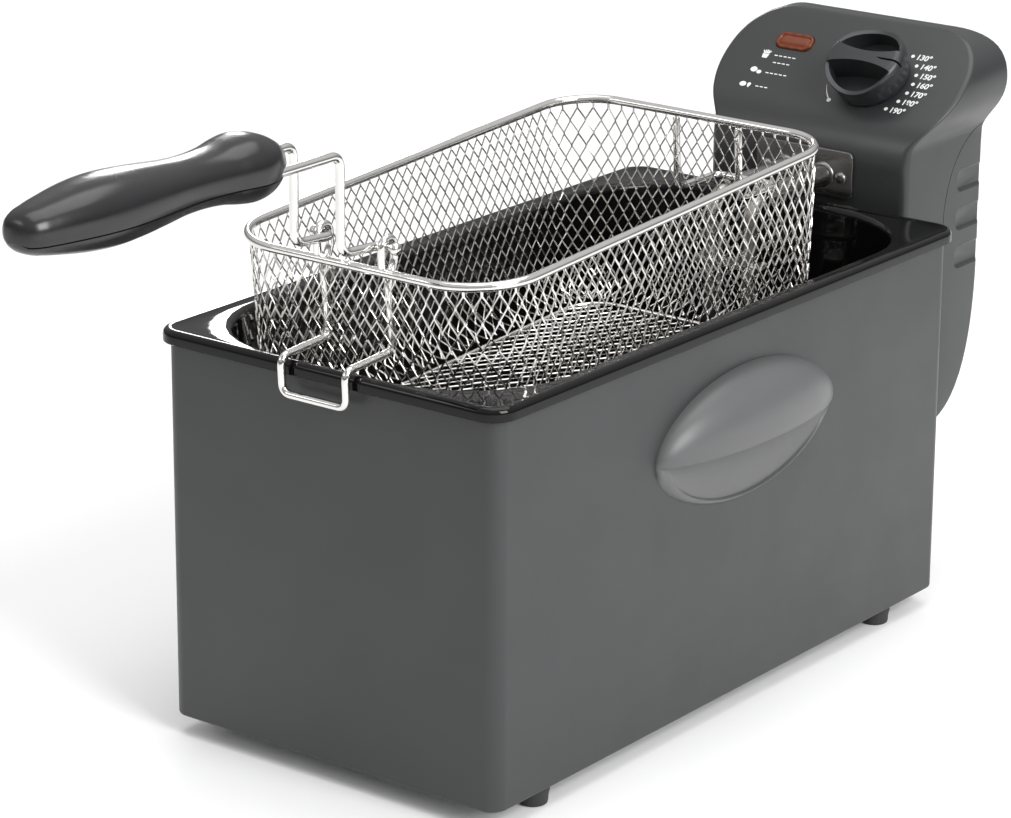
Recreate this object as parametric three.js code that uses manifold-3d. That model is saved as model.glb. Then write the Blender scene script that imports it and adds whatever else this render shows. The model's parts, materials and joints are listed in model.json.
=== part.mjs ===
// A counter-top deep fryer: sheet-steel housing, enamelled oil tank, lift-off control head with its heating
// element, and a wire basket with a folding handle, hung up to drain.
// Millimetres. X is right, Y runs from the basket handle to the control head, Z is up. Every place below is
// measured from the middle of the housing's bottom edge; the last lines move the whole to its origin.
import * as THREE from "three";
import { mergeVertices } from "three/addons/utils/BufferGeometryUtils.js";
import Module from "manifold-3d";

const wasm = await Module();
wasm.setup();

// ---------- driving dimensions ----------
const GAP = 0.3; // clearance between neighbouring pieces
const HOUSING = { width: 175, length: 335.4, height: 171, corner: 7.5, wall: 1.5, lip: 5 };
const BASE = { low: 1.8, thick: 1.5, slot: { width: 4, length: 60, count: 7, pitch: 14 } };
const FOOT = { x: 78, y: 130, height: 9, top: 7, bottom: 6.2 };
const FOOT_SCREW = { shank: 1.7, head: 3.4, headHeight: 2.2 };
const TANK = {
  overhang: 3.7, top: 173, lipHeight: 6, sheet: 1.6, cornerOut: 12, edge: 3,
  openX: 80.5, openY: 163, corner: 50, floor: 62, taper: 7, floorRound: 15,
};
const CARRY = { y: 4.6, z: 119.5, halfLength: 65, halfHeight: 29.5, bulge: 17, wall: 2.6, plate: 3.2 };
const GUIDE = { width: 72, low: 66, high: 158, back: 167.9, front: 177.9, sheet: 1.5, opening: 52 };
const PANEL = { y: 182, z: 202, lean: 50, length: 68.5, fold: 14 };
const HEAD = {
  front: 181.2, back: 250, bottom: 60, halfWidth: 54.5, wall: 2.5, corner: 4, topCorner: 12,
  seamY: 216, seamZ: 186, seamRise: 26,
};
const HOOD = { low: 198, halfWidth: 54, flare: 66.5, flareZ: 224, crown: 34.5 };
const DENT = { count: 3, top: 176, pitch: 18.7, deep: 1.4, halfHeight: 5.4, corner: 4, reach: 22.5 };
const KNOB = {
  x: 19, s: 34, foot: 17.5, radius: 19.3, rim: 11.7, top: 17.2, bowl: 16.9, floor: 4.5,
  waist: 3.6, end: 9, reach: 24,
};
const SHAFT = { radius: 2.5, low: -12, high: 9 };
const LAMP = { x: -31.8, s: 48, width: 19.6, height: 9.2, proud: 1.2 };
const CASE_SCREW = { x: 36, z: 150, post: 4.2, head: 3.4, shank: 1.1, sunk: 1.8 };
const RESET = { z: 112, radius: 3.3, inner: 234.4 };
const GLAND = { x: 28, y: 202, neck: 6, collar: 8, bore: 3.4 };
const PLATE = { width: 53, low: 172.6, high: 194.6, thick: 1.5, corner: 3, screwX: 20.5, z: 182 };
const SLEEVE = { x: 10.5, front: 129, back: 185, outer: 4.8, inner: 3.65 };
const ELEMENT = {
  radius: 3.3, bend: 11, riserY: 120, low: 80, crossY: 96, outerX: 54, innerX: 20, frontY: -118, innerY: 72,
};
const SENSOR = { radius: 1.2, bulb: 3, z: 175, y: 112, low: 90, tip: -10, bulbBack: 60 };
const BASKET = {
  y: -151, z: 211.3, tilt: 3.06, halfWidth: 71, length: 247.4, cornerFront: 30, cornerBack: 25,
  rim: 1.95, depth: 92, taper: 4, floorRound: 12, sheet: 1.2,
};
const DRAIN = { x: 16.8, wire: 1.7, loop: 4, legV: 2.7, w: -34.3, reach: -26, drop: 15.6 };
const REST = { x: 17, wire: 1.7, y: 133, z: 189.1 };
const PIVOT = { v: 3.5, w: 9.75 };
const HANDLE = { x: 12, wire: 1.95, upY: -171.5, lowZ: 222.8, gripZ: 263.4, bend: 6, pin: 21, cap: 2.7 };
const GRIP = { front: -198.5, tip: -346, width: 1.18, wireEnd: -232, axisZ: 265.8, parting: 261.5 };
// Half-heights of the grip along its length, as [distance from its front end, half-height].
const GRIP_PROFILE = [
  [0, 0], [2, 6], [8, 11.2], [16, 13.4], [25, 13.6], [38, 11.6], [50, 10.8], [72, 11.9], [98, 13],
  [120, 11.6], [135, 9.4], [144, 6.6], [147.5, 0],
];

// ---------- materials ----------
const look = (color, roughness, metalness = 0) =>
  new THREE.MeshStandardMaterial({ color, roughness, metalness });
const PAINT = look(0x3c3d3f, 0.5, 0.2);
const ENAMEL = look(0x0b0b0c, 0.08);
const SHELL = look(0x2c2d2f, 0.45);
const GRIP_BLACK = look(0x171718, 0.35);
const CHROME = look(0xd8d8d8, 0.12, 1);
const STEEL = look(0xb9bab8, 0.35, 1);
const RUBBER = look(0x1b1b1b, 0.85);
const AMBER = look(0xc4581c, 0.2);
const PHENOLIC = look(0x5b4a3a, 0.6);
const NYLON = look(0xd9d4c6, 0.5);
const RED = look(0xa02018, 0.4);
const GALVANISED = look(0x9b9ea0, 0.45, 0.9);

// ---------- solids ----------
const AXIS = {
  x: new THREE.Vector3(1, 0, 0),
  y: new THREE.Vector3(0, 1, 0),
  z: new THREE.Vector3(0, 0, 1),
};

// A closed three.js geometry as a manifold-3d solid with its faces pointing out.
function toSolid(geometry) {
  const bare = new THREE.BufferGeometry().setAttribute("position", geometry.getAttribute("position"));
  if (geometry.index) bare.setIndex(geometry.index);
  const merged = mergeVertices(bare, 1e-4);
  const vertProperties = Float32Array.from(merged.attributes.position.array);
  const corners = Array.from(merged.index.array);
  const triVerts = [];
  for (let i = 0; i < corners.length; i += 3) {
    const [a, b, c] = corners.slice(i, i + 3);
    if (a !== b && b !== c && c !== a) triVerts.push(a, b, c);
  }
  const build = (order) =>
    new wasm.Manifold(new wasm.Mesh({ numProp: 3, vertProperties, triVerts: Uint32Array.from(order) }));
  const solid = build(triVerts);
  return solid.volume() < 0 ? build(triVerts.reverse()) : solid;
}

// A manifold-3d solid as a three.js geometry.
function toGeometry(solid) {
  const { vertProperties, triVerts } = solid.getMesh();
  const geometry = new THREE.BufferGeometry()
    .setAttribute("position", new THREE.BufferAttribute(vertProperties, 3))
    .setIndex(new THREE.BufferAttribute(triVerts, 1))
    .toNonIndexed();
  geometry.computeVertexNormals();
  return geometry;
}

const joined = (...solids) => solids.reduce((a, b) => a.add(b));
const cut = (solid, ...tools) => tools.reduce((a, b) => a.subtract(b), solid);

function mesh(name, solid, material) {
  const made = new THREE.Mesh(toGeometry(solid), material);
  made.name = name;
  return made;
}

// A prism of an outline, standing on z = low.
function prism(shape, low, high, curveSegments = 6) {
  const depth = high - low;
  const geometry = new THREE.ExtrudeGeometry(shape, { depth, bevelEnabled: false, curveSegments });
  return toSolid(geometry.translate(0, 0, low));
}

// A prism of an outline in the Y-Z plane, from x = -half to x = half.
function sidePrism(shape, half, curveSegments = 6) {
  const geometry = new THREE.ExtrudeGeometry(shape, { depth: 2 * half, bevelEnabled: false, curveSegments });
  const toSide = new THREE.Matrix4().makeBasis(AXIS.y, AXIS.z, AXIS.x).setPosition(-half, 0, 0);
  return toSolid(geometry.applyMatrix4(toSide));
}

// A round rod between two points.
function rod(from, to, radius, sides = 12, endRadius = radius) {
  const length = from.distanceTo(to);
  const geometry = new THREE.CylinderGeometry(endRadius, radius, length, sides);
  const turn = new THREE.Quaternion().setFromUnitVectors(AXIS.y, to.clone().sub(from).normalize());
  const middle = from.clone().lerp(to, 0.5);
  return toSolid(geometry.applyQuaternion(turn).translate(middle.x, middle.y, middle.z));
}

function box(low, high) {
  const size = high.map((v, i) => v - low[i]);
  const geometry = new THREE.BoxGeometry(...size);
  return toSolid(geometry.translate(...low.map((v, i) => v + size[i] / 2)));
}

const at = (x, y, z) => new THREE.Vector3(x, y, z);

// A rectangle with round corners about its own middle; front and back corners may differ.
function roundedRect(width, length, corner, cornerBack = corner) {
  const [x, y, f, b] = [width / 2, length / 2, corner, cornerBack];
  const shape = new THREE.Shape();
  shape.moveTo(-x + f, -y).lineTo(x - f, -y).absarc(x - f, -y + f, f, -Math.PI / 2, 0);
  shape.lineTo(x, y - b).absarc(x - b, y - b, b, 0, Math.PI / 2);
  shape.lineTo(-x + b, y).absarc(-x + b, y - b, b, Math.PI / 2, Math.PI);
  shape.lineTo(-x, -y + f).absarc(-x + f, -y + f, f, Math.PI, 1.5 * Math.PI);
  return shape;
}

// A tub: an outline carried through levels, each with its height and how far it is drawn in all round.
function tub(width, length, corner, levels, cornerBack = corner, curveSegments = 4) {
  const steps = levels.length - 1;
  const shape = roundedRect(width, length, corner, cornerBack);
  const geometry = new THREE.ExtrudeGeometry(
    shape, { depth: steps, steps, bevelEnabled: false, curveSegments });
  const p = geometry.attributes.position;
  for (let i = 0; i < p.count; i++) {
    const { z, inset } = levels[Math.round(p.getZ(i))];
    p.setXYZ(i, p.getX(i) * (1 - (2 * inset) / width), p.getY(i) * (1 - (2 * inset) / length), z);
  }
  return toSolid(geometry);
}

// The levels of a tapering tub with a rounded floor.
function tubLevels(floor, top, taper, round, drop = 0) {
  const levels = [];
  for (let k = 0; k <= 4; k++) {
    const turn = (k / 4) * (Math.PI / 2);
    const z = floor + round * (1 - Math.cos(turn));
    levels.push({ z, inset: round * (1 - Math.sin(turn)) + (taper * (top - z)) / (top - floor) + drop });
  }
  levels.push({ z: top, inset: drop });
  return levels;
}

// ---------- wires ----------
// A polyline with its corners rounded.
function bent(points, radius, steps = 5) {
  const path = [points[0]];
  for (let i = 1; i < points.length - 1; i++) {
    const back = points[i - 1].clone().sub(points[i]);
    const on = points[i + 1].clone().sub(points[i]);
    const reach = Math.min(radius, 0.49 * back.length(), 0.49 * on.length());
    const start = points[i].clone().addScaledVector(back.normalize(), reach);
    const end = points[i].clone().addScaledVector(on.normalize(), reach);
    path.push(...new THREE.QuadraticBezierCurve3(start, points[i], end).getPoints(steps));
  }
  path.push(points[points.length - 1]);
  return path;
}

// A curve that passes through each of its points at even steps of its parameter.
class WirePath extends THREE.Curve {
  constructor(points) {
    super();
    this.points = points;
  }
  getPointAt(t) {
    const place = Math.min(Math.max(t, 0), 1) * (this.points.length - 1);
    const first = Math.min(Math.floor(place), this.points.length - 2);
    return this.points[first].clone().lerp(this.points[first + 1], place - first);
  }
  getPoint(t) {
    return this.getPointAt(t);
  }
  getTangentAt(t) {
    const half = 0.5 / (this.points.length - 1);
    return this.getPointAt(t + half).sub(this.getPointAt(t - half)).normalize();
  }
}

function wire(path, radius, sides = 8) {
  const section = new THREE.Shape().absarc(0, 0, radius, 0, 2 * Math.PI);
  const settings = { steps: path.length - 1, bevelEnabled: false, curveSegments: sides / 2 };
  return toSolid(new THREE.ExtrudeGeometry(section, { ...settings, extrudePath: new WirePath(path) }));
}

const mirrored = (points) => points.map((p) => at(-p.x, p.y, p.z));

// ---------- frames of the slanted parts ----------
// The control panel: x across, s up its slope, n out of its face.
function panelFrame() {
  const frame = new THREE.Group();
  frame.position.set(0, PANEL.y, PANEL.z);
  frame.rotation.x = THREE.MathUtils.degToRad(90 - PANEL.lean);
  frame.updateMatrixWorld();
  return frame;
}

// The hung basket: x across, v back from the front of its rim, w up from its rim.
function basketFrame() {
  const frame = new THREE.Group();
  frame.position.set(0, BASKET.y, BASKET.z);
  frame.rotation.x = THREE.MathUtils.degToRad(BASKET.tilt);
  frame.updateMatrixWorld();
  return frame;
}

const panel = panelFrame();
const basket = basketFrame();
const onPanel = (geometry) => toSolid(geometry.applyMatrix4(panel.matrixWorld));
const inBasket = (x, y, z) => basket.worldToLocal(at(x, y, z));

// ---------- housing ----------
function housingShell() {
  const { width, length, height, corner, wall, lip } = HOUSING;
  const outer = prism(roundedRect(width, length, corner), 0, height, 4);
  const room = prism(roundedRect(width - 2 * wall, length - 2 * wall, corner - wall), wall, height - wall, 4);
  const inset = 2 * (wall + lip);
  const under = prism(roundedRect(width - inset, length - inset, 4), -1, wall + 1, 3);
  const reach = TANK.sheet + 0.6;
  const mouth = roundedRect(2 * (TANK.openX + reach), 2 * (TANK.openY + reach), TANK.corner + reach);
  return cut(outer, room, under, prism(mouth, height - wall - 1, height + 1, 5));
}

function basePlate() {
  const { low, thick, slot } = BASE;
  const inset = 2 * (HOUSING.wall + GAP);
  const outline = roundedRect(HOUSING.width - inset, HOUSING.length - inset, HOUSING.corner - 2);
  const slots = [];
  for (let i = 0; i < slot.count; i++) {
    const y = (i - (slot.count - 1) / 2) * slot.pitch;
    const [halfLength, halfWidth] = [slot.length / 2, slot.width / 2];
    slots.push(box([-halfLength, y - halfWidth, low - 1], [halfLength, y + halfWidth, 9]));
  }
  const holes = footPlaces().map(([, x, y]) => rod(at(x, y, 0), at(x, y, 9), FOOT_SCREW.shank + GAP));
  return cut(prism(outline, low, low + thick, 3), ...slots, ...holes);
}

function footPlaces() {
  const places = [];
  for (const [end, y] of [["front", -FOOT.y], ["rear", FOOT.y]])
    for (const [side, x] of [["left", -FOOT.x], ["right", FOOT.x]]) places.push([`${end}_${side}`, x, y]);
  return places;
}

function foot(x, y) {
  const { height, top, bottom } = FOOT;
  const body = rod(at(x, y, -height), at(x, y, -0.2), bottom, 20, top);
  const bore = rod(at(x, y, -height - 1), at(x, y, 1), FOOT_SCREW.shank + GAP);
  const recess = rod(at(x, y, -height - 1), at(x, y, -height + 3), FOOT_SCREW.head + GAP);
  return cut(body, bore, recess);
}

function footScrew(x, y) {
  const { shank, head, headHeight } = FOOT_SCREW;
  const seat = -FOOT.height + 3 - GAP;
  const slot = box([x - head, y - 0.5, seat - headHeight - 1], [x + head, y + 0.5, seat - headHeight + 0.9]);
  const body = joined(
    rod(at(x, y, seat - headHeight), at(x, y, seat), head),
    rod(at(x, y, seat - 0.5), at(x, y, 6), shank, 10),
  );
  return cut(body, slot);
}

// One half of a pointed oval dome: a sphere drawn out along Y, with its tips pinched.
function ovalDome(bulge, halfLength, halfHeight) {
  const geometry = new THREE.SphereGeometry(1, 22, 12);
  geometry.rotateX(Math.PI / 2).rotateZ(Math.PI / 2).rotateX(Math.PI / 2);
  const p = geometry.attributes.position;
  for (let i = 0; i < p.count; i++) {
    const pinch = Math.max(1 - p.getY(i) ** 2, 0) ** 0.22;
    p.setXYZ(i, p.getX(i) * bulge * pinch, p.getY(i) * halfLength, p.getZ(i) * halfHeight * pinch);
  }
  return geometry;
}

// A carry handle on the right-hand wall; side -1 mirrors it. Fingers go up under the dome.
function carryHandle(side) {
  const { y, z, halfLength, halfHeight, bulge, wall, plate } = CARRY;
  const face = HOUSING.width / 2 + 0.2;
  const dome = (shrink) =>
    toSolid(ovalDome(bulge - shrink, halfLength - 1.5 * shrink, halfHeight - shrink).translate(face, y, z));
  const far = face + bulge + 5;
  const outside = box([face, y - 80, z - 60], [far, y + 80, z + 60]);
  const lower = box([face - 1, y - 80, z - 60], [far, y + 80, z]);
  const lowerPlate = dome(0).intersect(box([face, y - 80, z - 60], [face + plate, y + 80, z + 0.5]));
  const dish = new THREE.SphereGeometry(1, 16, 10).scale(4.4, halfLength - 12, halfHeight - 5);
  const body = joined(cut(dome(0).intersect(outside), lower), lowerPlate);
  const hollow = cut(dome(wall), box([face - 20, y - 80, z - 60], [face + 1.4, y + 80, z + 60]));
  const made = cut(body, hollow, toSolid(dish.translate(face + plate + 2, y, z - 2)).intersect(lower));
  return side > 0 ? made : made.mirror([1, 0, 0]);
}

// The channel on the back wall that the control head hangs in.
function rearGuide() {
  const { width, low, high, back, front, sheet, opening } = GUIDE;
  const outer = box([-width / 2, back, low], [width / 2, front, high]);
  const half = width / 2 - sheet;
  const room = box([-half, back + sheet, low + sheet], [half, front - sheet, high + 1]);
  const mouth = box([-opening / 2, front - sheet - 1, low + sheet], [opening / 2, front + 1, high + 1]);
  return cut(outer, room, mouth);
}

// ---------- tank ----------
function oilTank() {
  const { overhang, top, lipHeight, sheet, cornerOut, edge } = TANK;
  const { openX, openY, corner, floor, taper, floorRound } = TANK;
  const width = HOUSING.width + 2 * overhang;
  const length = HOUSING.length + 2 * overhang;
  const low = top - lipHeight;
  const rounded = [
    { z: low, inset: 0 }, { z: top - edge, inset: 0 }, { z: top - 0.3 * edge, inset: 0.3 * edge },
    { z: top, inset: edge },
  ];
  const flange = tub(width, length, cornerOut, rounded);
  const under = prism(
    roundedRect(width - 2 * sheet, length - 2 * sheet, cornerOut - sheet), low - 1, top - sheet, 4);
  const pot = tub(2 * openX, 2 * openY, corner, tubLevels(floor, top - 1, taper, floorRound, -sheet));
  const levels = tubLevels(floor + sheet, top - edge, taper, floorRound);
  levels.push({ z: top - 0.3 * edge, inset: -0.3 * edge }, { z: top + 0.1, inset: -edge });
  return cut(joined(cut(flange, under), pot), tub(2 * openX, 2 * openY, corner, levels));
}

// ---------- control head ----------
// The hood's outline from the front: narrow at its foot, flared above it, with large round top corners.
function hoodOutline(inset) {
  const { low, flareZ } = HOOD;
  const [foot, flare, crown] = [HOOD.halfWidth - inset, HOOD.flare - inset, HOOD.crown];
  const top = panelTop().z - inset;
  const shape = new THREE.Shape();
  shape.moveTo(-foot, low).lineTo(foot, low).lineTo(foot, PANEL.z);
  shape.bezierCurveTo(foot + 4, PANEL.z + 5, flare, PANEL.z + 10, flare, flareZ);
  shape.bezierCurveTo(flare, flareZ + 14, flare - 11, top, crown, top);
  shape.lineTo(-crown, top);
  shape.bezierCurveTo(11 - flare, top, -flare, flareZ + 14, -flare, flareZ);
  shape.bezierCurveTo(-flare, PANEL.z + 10, -foot - 4, PANEL.z + 5, -foot, PANEL.z);
  return shape;
}

// The middle of the panel's top edge.
function panelTop() {
  const lean = THREE.MathUtils.degToRad(PANEL.lean);
  return { y: PANEL.y + PANEL.length * Math.sin(lean), z: PANEL.z + PANEL.length * Math.cos(lean) };
}

// The head's outline from the side: upright front, slanted panel, level top, upright back and curved tail.
function headSide(inset) {
  const { bottom, topCorner } = HEAD;
  const [front, back] = [HEAD.front + inset, HEAD.back - inset];
  const lean = THREE.MathUtils.degToRad(PANEL.lean);
  const sunk = inset / Math.sin(lean); // the inner face of the panel lies this far below the outer one
  const top = panelTop();
  const ridge = top.z - inset;
  const foldTop = {
    y: PANEL.y + PANEL.fold * Math.sin(lean), z: PANEL.z + PANEL.fold * Math.cos(lean) - sunk,
  };
  const shape = new THREE.Shape();
  shape.moveTo(front, bottom + inset).lineTo(front, PANEL.z - PANEL.fold - 0.5 * inset);
  shape.quadraticCurveTo(front, PANEL.z - 0.5 * sunk, foldTop.y, foldTop.z);
  shape.lineTo(top.y + (sunk - inset) * Math.tan(lean), ridge);
  shape.lineTo(back - topCorner, ridge);
  shape.quadraticCurveTo(back, ridge, back, ridge - topCorner);
  shape.lineTo(back, bottom + 78);
  shape.bezierCurveTo(back, bottom + 36, HEAD.back - 9, bottom + inset, HEAD.back - 44, bottom + inset);
  return shape;
}

// The head's outer form, or with an inset the room inside it.
function headForm(inset) {
  const { front, back, bottom, halfWidth, corner } = HEAD;
  const length = back - front - 2 * inset;
  const hood = new THREE.ExtrudeGeometry(
    hoodOutline(inset), { depth: length, bevelEnabled: false, curveSegments: 8 });
  hood.rotateX(Math.PI / 2).translate(0, back - inset, 0);
  const foot = roundedRect(2 * (halfWidth - inset), length, corner - inset);
  const column = prism(foot, bottom + inset, PANEL.z + 1, 3).translate([0, (front + back) / 2, 0]);
  return joined(toSolid(hood), column).intersect(sidePrism(headSide(inset), 90, 7));
}

// Everything behind and below the seam between the head's two covers.
function seamSide(gap) {
  const { seamY, seamZ, seamRise, back } = HEAD;
  const shape = new THREE.Shape();
  shape.moveTo(seamY + gap, 0).lineTo(back + 20, 0).lineTo(back + 20, seamZ + seamRise - gap);
  shape.lineTo(back, seamZ + seamRise - gap);
  shape.quadraticCurveTo(seamY + gap + 4, seamZ + seamRise - gap - 8, seamY + gap, seamZ - gap - 14);
  return sidePrism(shape, 95, 8);
}

const stadium = (width, height) => roundedRect(width, height, Math.min(width, height) * 0.42);

const screwPadFront = HEAD.back - 6.6; // where the front cover's screw posts meet the rear cover's pads

function screwPost(x) {
  const { z, post, shank } = CASE_SCREW;
  const body = rod(at(x, HEAD.front + 1, z), at(x, screwPadFront - GAP, z), post);
  return cut(body, rod(at(x, screwPadFront - 18, z), at(x, HEAD.back, z), shank + 0.2, 8));
}

function headFrontCover() {
  const shell = cut(headForm(0), headForm(HEAD.wall), seamSide(0));
  const lampOutline = stadium(LAMP.width + 2 * GAP, LAMP.height + 2 * GAP);
  const lampHole = new THREE.ExtrudeGeometry(
    lampOutline, { depth: 20, bevelEnabled: false, curveSegments: 3 });
  const shaftRoom = SHAFT.radius + 1;
  const knobHole = new THREE.CylinderGeometry(shaftRoom, shaftRoom, 20, 14).rotateX(Math.PI / 2);
  const holes = [-1, 1].map((side) => {
    const x = side * SLEEVE.x;
    return rod(at(x, HEAD.front - 1, PLATE.z), at(x, HEAD.front + 6, PLATE.z), SLEEVE.outer + 2 * GAP);
  });
  const screws = [-1, 1].map((side) => {
    const x = side * PLATE.screwX;
    return rod(at(x, HEAD.front - 1, PLATE.z), at(x, HEAD.front + 6, PLATE.z), 1.7, 10);
  });
  const { x: glandX, y: glandY, neck } = GLAND;
  const gland = rod(at(glandX, glandY, HEAD.bottom - 2), at(glandX, glandY, HEAD.bottom + 6), neck + GAP, 16);
  const { z: sensorZ, radius: sensorRadius } = SENSOR;
  const sensor = rod(at(0, HEAD.front - 1, sensorZ), at(0, HEAD.front + 6, sensorZ), sensorRadius + GAP, 8);
  return cut(
    joined(shell, screwPost(-CASE_SCREW.x), screwPost(CASE_SCREW.x)),
    onPanel(lampHole.translate(LAMP.x, LAMP.s, -12)),
    onPanel(knobHole.translate(KNOB.x, KNOB.s, 0)),
    gland, sensor, ...holes, ...screws,
  );
}

function headRearCover() {
  const shell = cut(headForm(0), headForm(HEAD.wall)).intersect(seamSide(GAP));
  const dents = [];
  for (const side of [-1, 1])
    for (let i = 0; i < DENT.count; i++) {
      const scoop = sidePrism(roundedRect(2 * DENT.reach, 2 * DENT.halfHeight, DENT.corner), 3);
      const z = DENT.top - i * DENT.pitch;
      dents.push(scoop.translate([side * (HEAD.halfWidth - DENT.deep + 3), HEAD.back, z]));
    }
  const { x: screwX, z, head, sunk } = CASE_SCREW;
  const pads = [-screwX, screwX].map((x) => rod(at(x, screwPadFront, z), at(x, HEAD.back - 1, z), 6));
  const bores = [-screwX, screwX].flatMap((x) => [
    rod(at(x, screwPadFront - 4, z), at(x, HEAD.back + 2, z), 1.8, 10),
    rod(at(x, HEAD.back - sunk, z), at(x, HEAD.back + 2, z), head + 0.4),
  ]);
  const reset = rod(at(0, HEAD.back - 10, RESET.z), at(0, HEAD.back + 5, RESET.z), RESET.radius + 0.5, 14);
  return cut(joined(cut(shell, ...dents), ...pads), ...bores, reset);
}

function coverScrew(x) {
  const { z, head, shank, sunk } = CASE_SCREW;
  const seat = HEAD.back - sunk + 0.1;
  const body = joined(
    rod(at(x, seat, z), at(x, HEAD.back - 0.2, z), head),
    rod(at(x, HEAD.back - 22, z), at(x, seat + 0.2, z), shank, 8),
  );
  return cut(body, box([x - 4, HEAD.back - 1, z - 0.4], [x + 4, HEAD.back + 2, z + 0.4]));
}

function cordGland() {
  const { x, y, neck, collar, bore } = GLAND;
  const { bottom } = HEAD;
  return cut(
    joined(
      rod(at(x, y, bottom - 1), at(x, y, bottom + 5), neck, 16),
      rod(at(x, y, bottom - 6), at(x, y, bottom - GAP), neck - 0.4, 16, collar),
    ),
    rod(at(x, y, bottom - 8), at(x, y, bottom + 8), bore, 12),
  );
}

// The tongue that slides down into the channel on the housing.
function guideTongue() {
  const low = GUIDE.low + GUIDE.sheet + 1;
  const high = GUIDE.high - 6;
  const wide = GUIDE.width / 2 - GUIDE.sheet - 1;
  const narrow = GUIDE.opening / 2 - 2;
  return joined(
    box([-wide, 172, low], [wide, GUIDE.front - GUIDE.sheet - 0.4, high]),
    box([-narrow, 173, low], [narrow, HEAD.front - 0.2, high]),
  );
}

function elementPlate() {
  const { width, low, high, thick, corner, screwX, z } = PLATE;
  const outline = roundedRect(width, high - low, corner);
  const slab = new THREE.ExtrudeGeometry(outline, { depth: thick, bevelEnabled: false, curveSegments: 4 });
  slab.rotateX(Math.PI / 2).translate(0, HEAD.front - 0.2, (low + high) / 2);
  const through = (x, height, radius) => rod(at(x, 170, height), at(x, 190, height), radius);
  return cut(
    toSolid(slab),
    through(-SLEEVE.x, z, SLEEVE.outer + GAP), through(SLEEVE.x, z, SLEEVE.outer + GAP),
    through(-screwX, z, 1.7), through(screwX, z, 1.7), through(0, SENSOR.z, SENSOR.radius + GAP),
  );
}

function plateScrew(x) {
  const face = HEAD.front - 0.2 - PLATE.thick - 0.1;
  const head = rod(at(x, face - 1.6, PLATE.z), at(x, face, PLATE.z), 2.9, 14);
  const shank = rod(at(x, face - 0.4, PLATE.z), at(x, HEAD.front + 8, PLATE.z), 1.4, 8);
  const cross = (dx, dz) =>
    box([x - dx, face - 3, PLATE.z - dz], [x + dx, face - 0.8, PLATE.z + dz]);
  return cut(joined(head, shank), cross(1.7, 0.35), cross(0.35, 1.7));
}

function elementSleeve(x) {
  const { front, back, outer, inner } = SLEEVE;
  const body = rod(at(x, front, PLATE.z), at(x, back, PLATE.z), outer, 16);
  return cut(body, rod(at(x, front - 1, PLATE.z), at(x, back + 1, PLATE.z), inner, 16));
}

// The heating element: out of the head, down into the tank, and in four legs over its floor.
function heatingElement() {
  const { radius, bend, riserY, low, crossY, outerX, innerX, frontY, innerY } = ELEMENT;
  const x = SLEEVE.x;
  const half = [
    at(x, 189, PLATE.z), at(x, riserY, PLATE.z), at(x, riserY, low),
    at(x, crossY, low), at(outerX, crossY, low),
    at(outerX, frontY, low), at(innerX, frontY, low), at(innerX, innerY, low),
  ];
  return wire(bent([...half, ...mirrored(half).reverse()], bend, 4), radius);
}

function riserClamp() {
  const { riserY, radius } = ELEMENT;
  const strap = box([-17, riserY - 5, 150], [17, riserY + 5, 152.5]);
  const holes = [-1, 1].map((side) => {
    const x = side * SLEEVE.x;
    return rod(at(x, riserY, 140), at(x, riserY, 160), radius + GAP);
  });
  return cut(strap, ...holes);
}

function elementBar() {
  const top = ELEMENT.low + ELEMENT.radius + GAP;
  return box([-ELEMENT.outerX - 7, -44, top], [ELEMENT.outerX + 7, -35, top + 1.5]);
}

function sensorTube() {
  const { radius, bulb, z, y, low, tip, bulbBack } = SENSOR;
  const path = bent([at(0, 189, z), at(0, y, z), at(0, y, low), at(0, bulbBack - 3, low)], 8, 4);
  return joined(wire(path, radius), rod(at(0, bulbBack, low), at(0, tip, low), bulb, 12));
}

function thermostatBody() {
  const body = new THREE.BoxGeometry(36, 30, 18).translate(KNOB.x, KNOB.s, -14);
  const bore = new THREE.CylinderGeometry(3.6, 3.6, 16, 14).rotateX(Math.PI / 2);
  return cut(onPanel(body), onPanel(bore.translate(KNOB.x, KNOB.s, -6)));
}

function terminalBlock() {
  const slab = box([-46, 196, 92], [-14, 212, 108]);
  const wells = [-39, -30, -21].map((x) => rod(at(x, 204, 103), at(x, 204, 110), 2.4, 10));
  return cut(slab, ...wells);
}

const thermalCutout = () => joined(
  rod(at(0, RESET.inner - 12.4, RESET.z), at(0, RESET.inner - 2.4, RESET.z), 10, 16),
  box([-3, 190, RESET.z - 3], [3, RESET.inner - 11, RESET.z + 3]),
);

const interlockSwitch = () => joined(
  box([10, 186, 92], [38, 196, 108]),
  box([20, 184.4, 98], [24, 187, 102]),
);

const resetButton = () =>
  rod(at(0, RESET.inner, RESET.z), at(0, HEAD.back - 1, RESET.z), RESET.radius, 14);

function neonLamp() {
  const glass = new THREE.CylinderGeometry(2.6, 2.6, 15, 12).rotateZ(Math.PI / 2);
  return onPanel(glass.translate(LAMP.x, LAMP.s, -8));
}

function lampLens() {
  const lens = new THREE.ExtrudeGeometry(stadium(LAMP.width, LAMP.height), {
    depth: 3.4, bevelThickness: 0.8, bevelSize: 0.8, bevelOffset: -0.8, bevelSegments: 1, curveSegments: 3,
  });
  return onPanel(lens.translate(LAMP.x, LAMP.s, LAMP.proud - 4.2));
}

// ---------- knob, in the panel's frame ----------
// Everything on one side of the knob's waisted bar, from the hollows' floor up.
function besideBar(side) {
  const { floor, waist, end, reach } = KNOB;
  const shape = new THREE.Shape();
  shape.moveTo(-reach, side * end).quadraticCurveTo(0, side * (2 * waist - end), reach, side * end);
  shape.lineTo(reach, side * reach).lineTo(-reach, side * reach);
  return prism(shape, floor, 30, 8);
}

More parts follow.
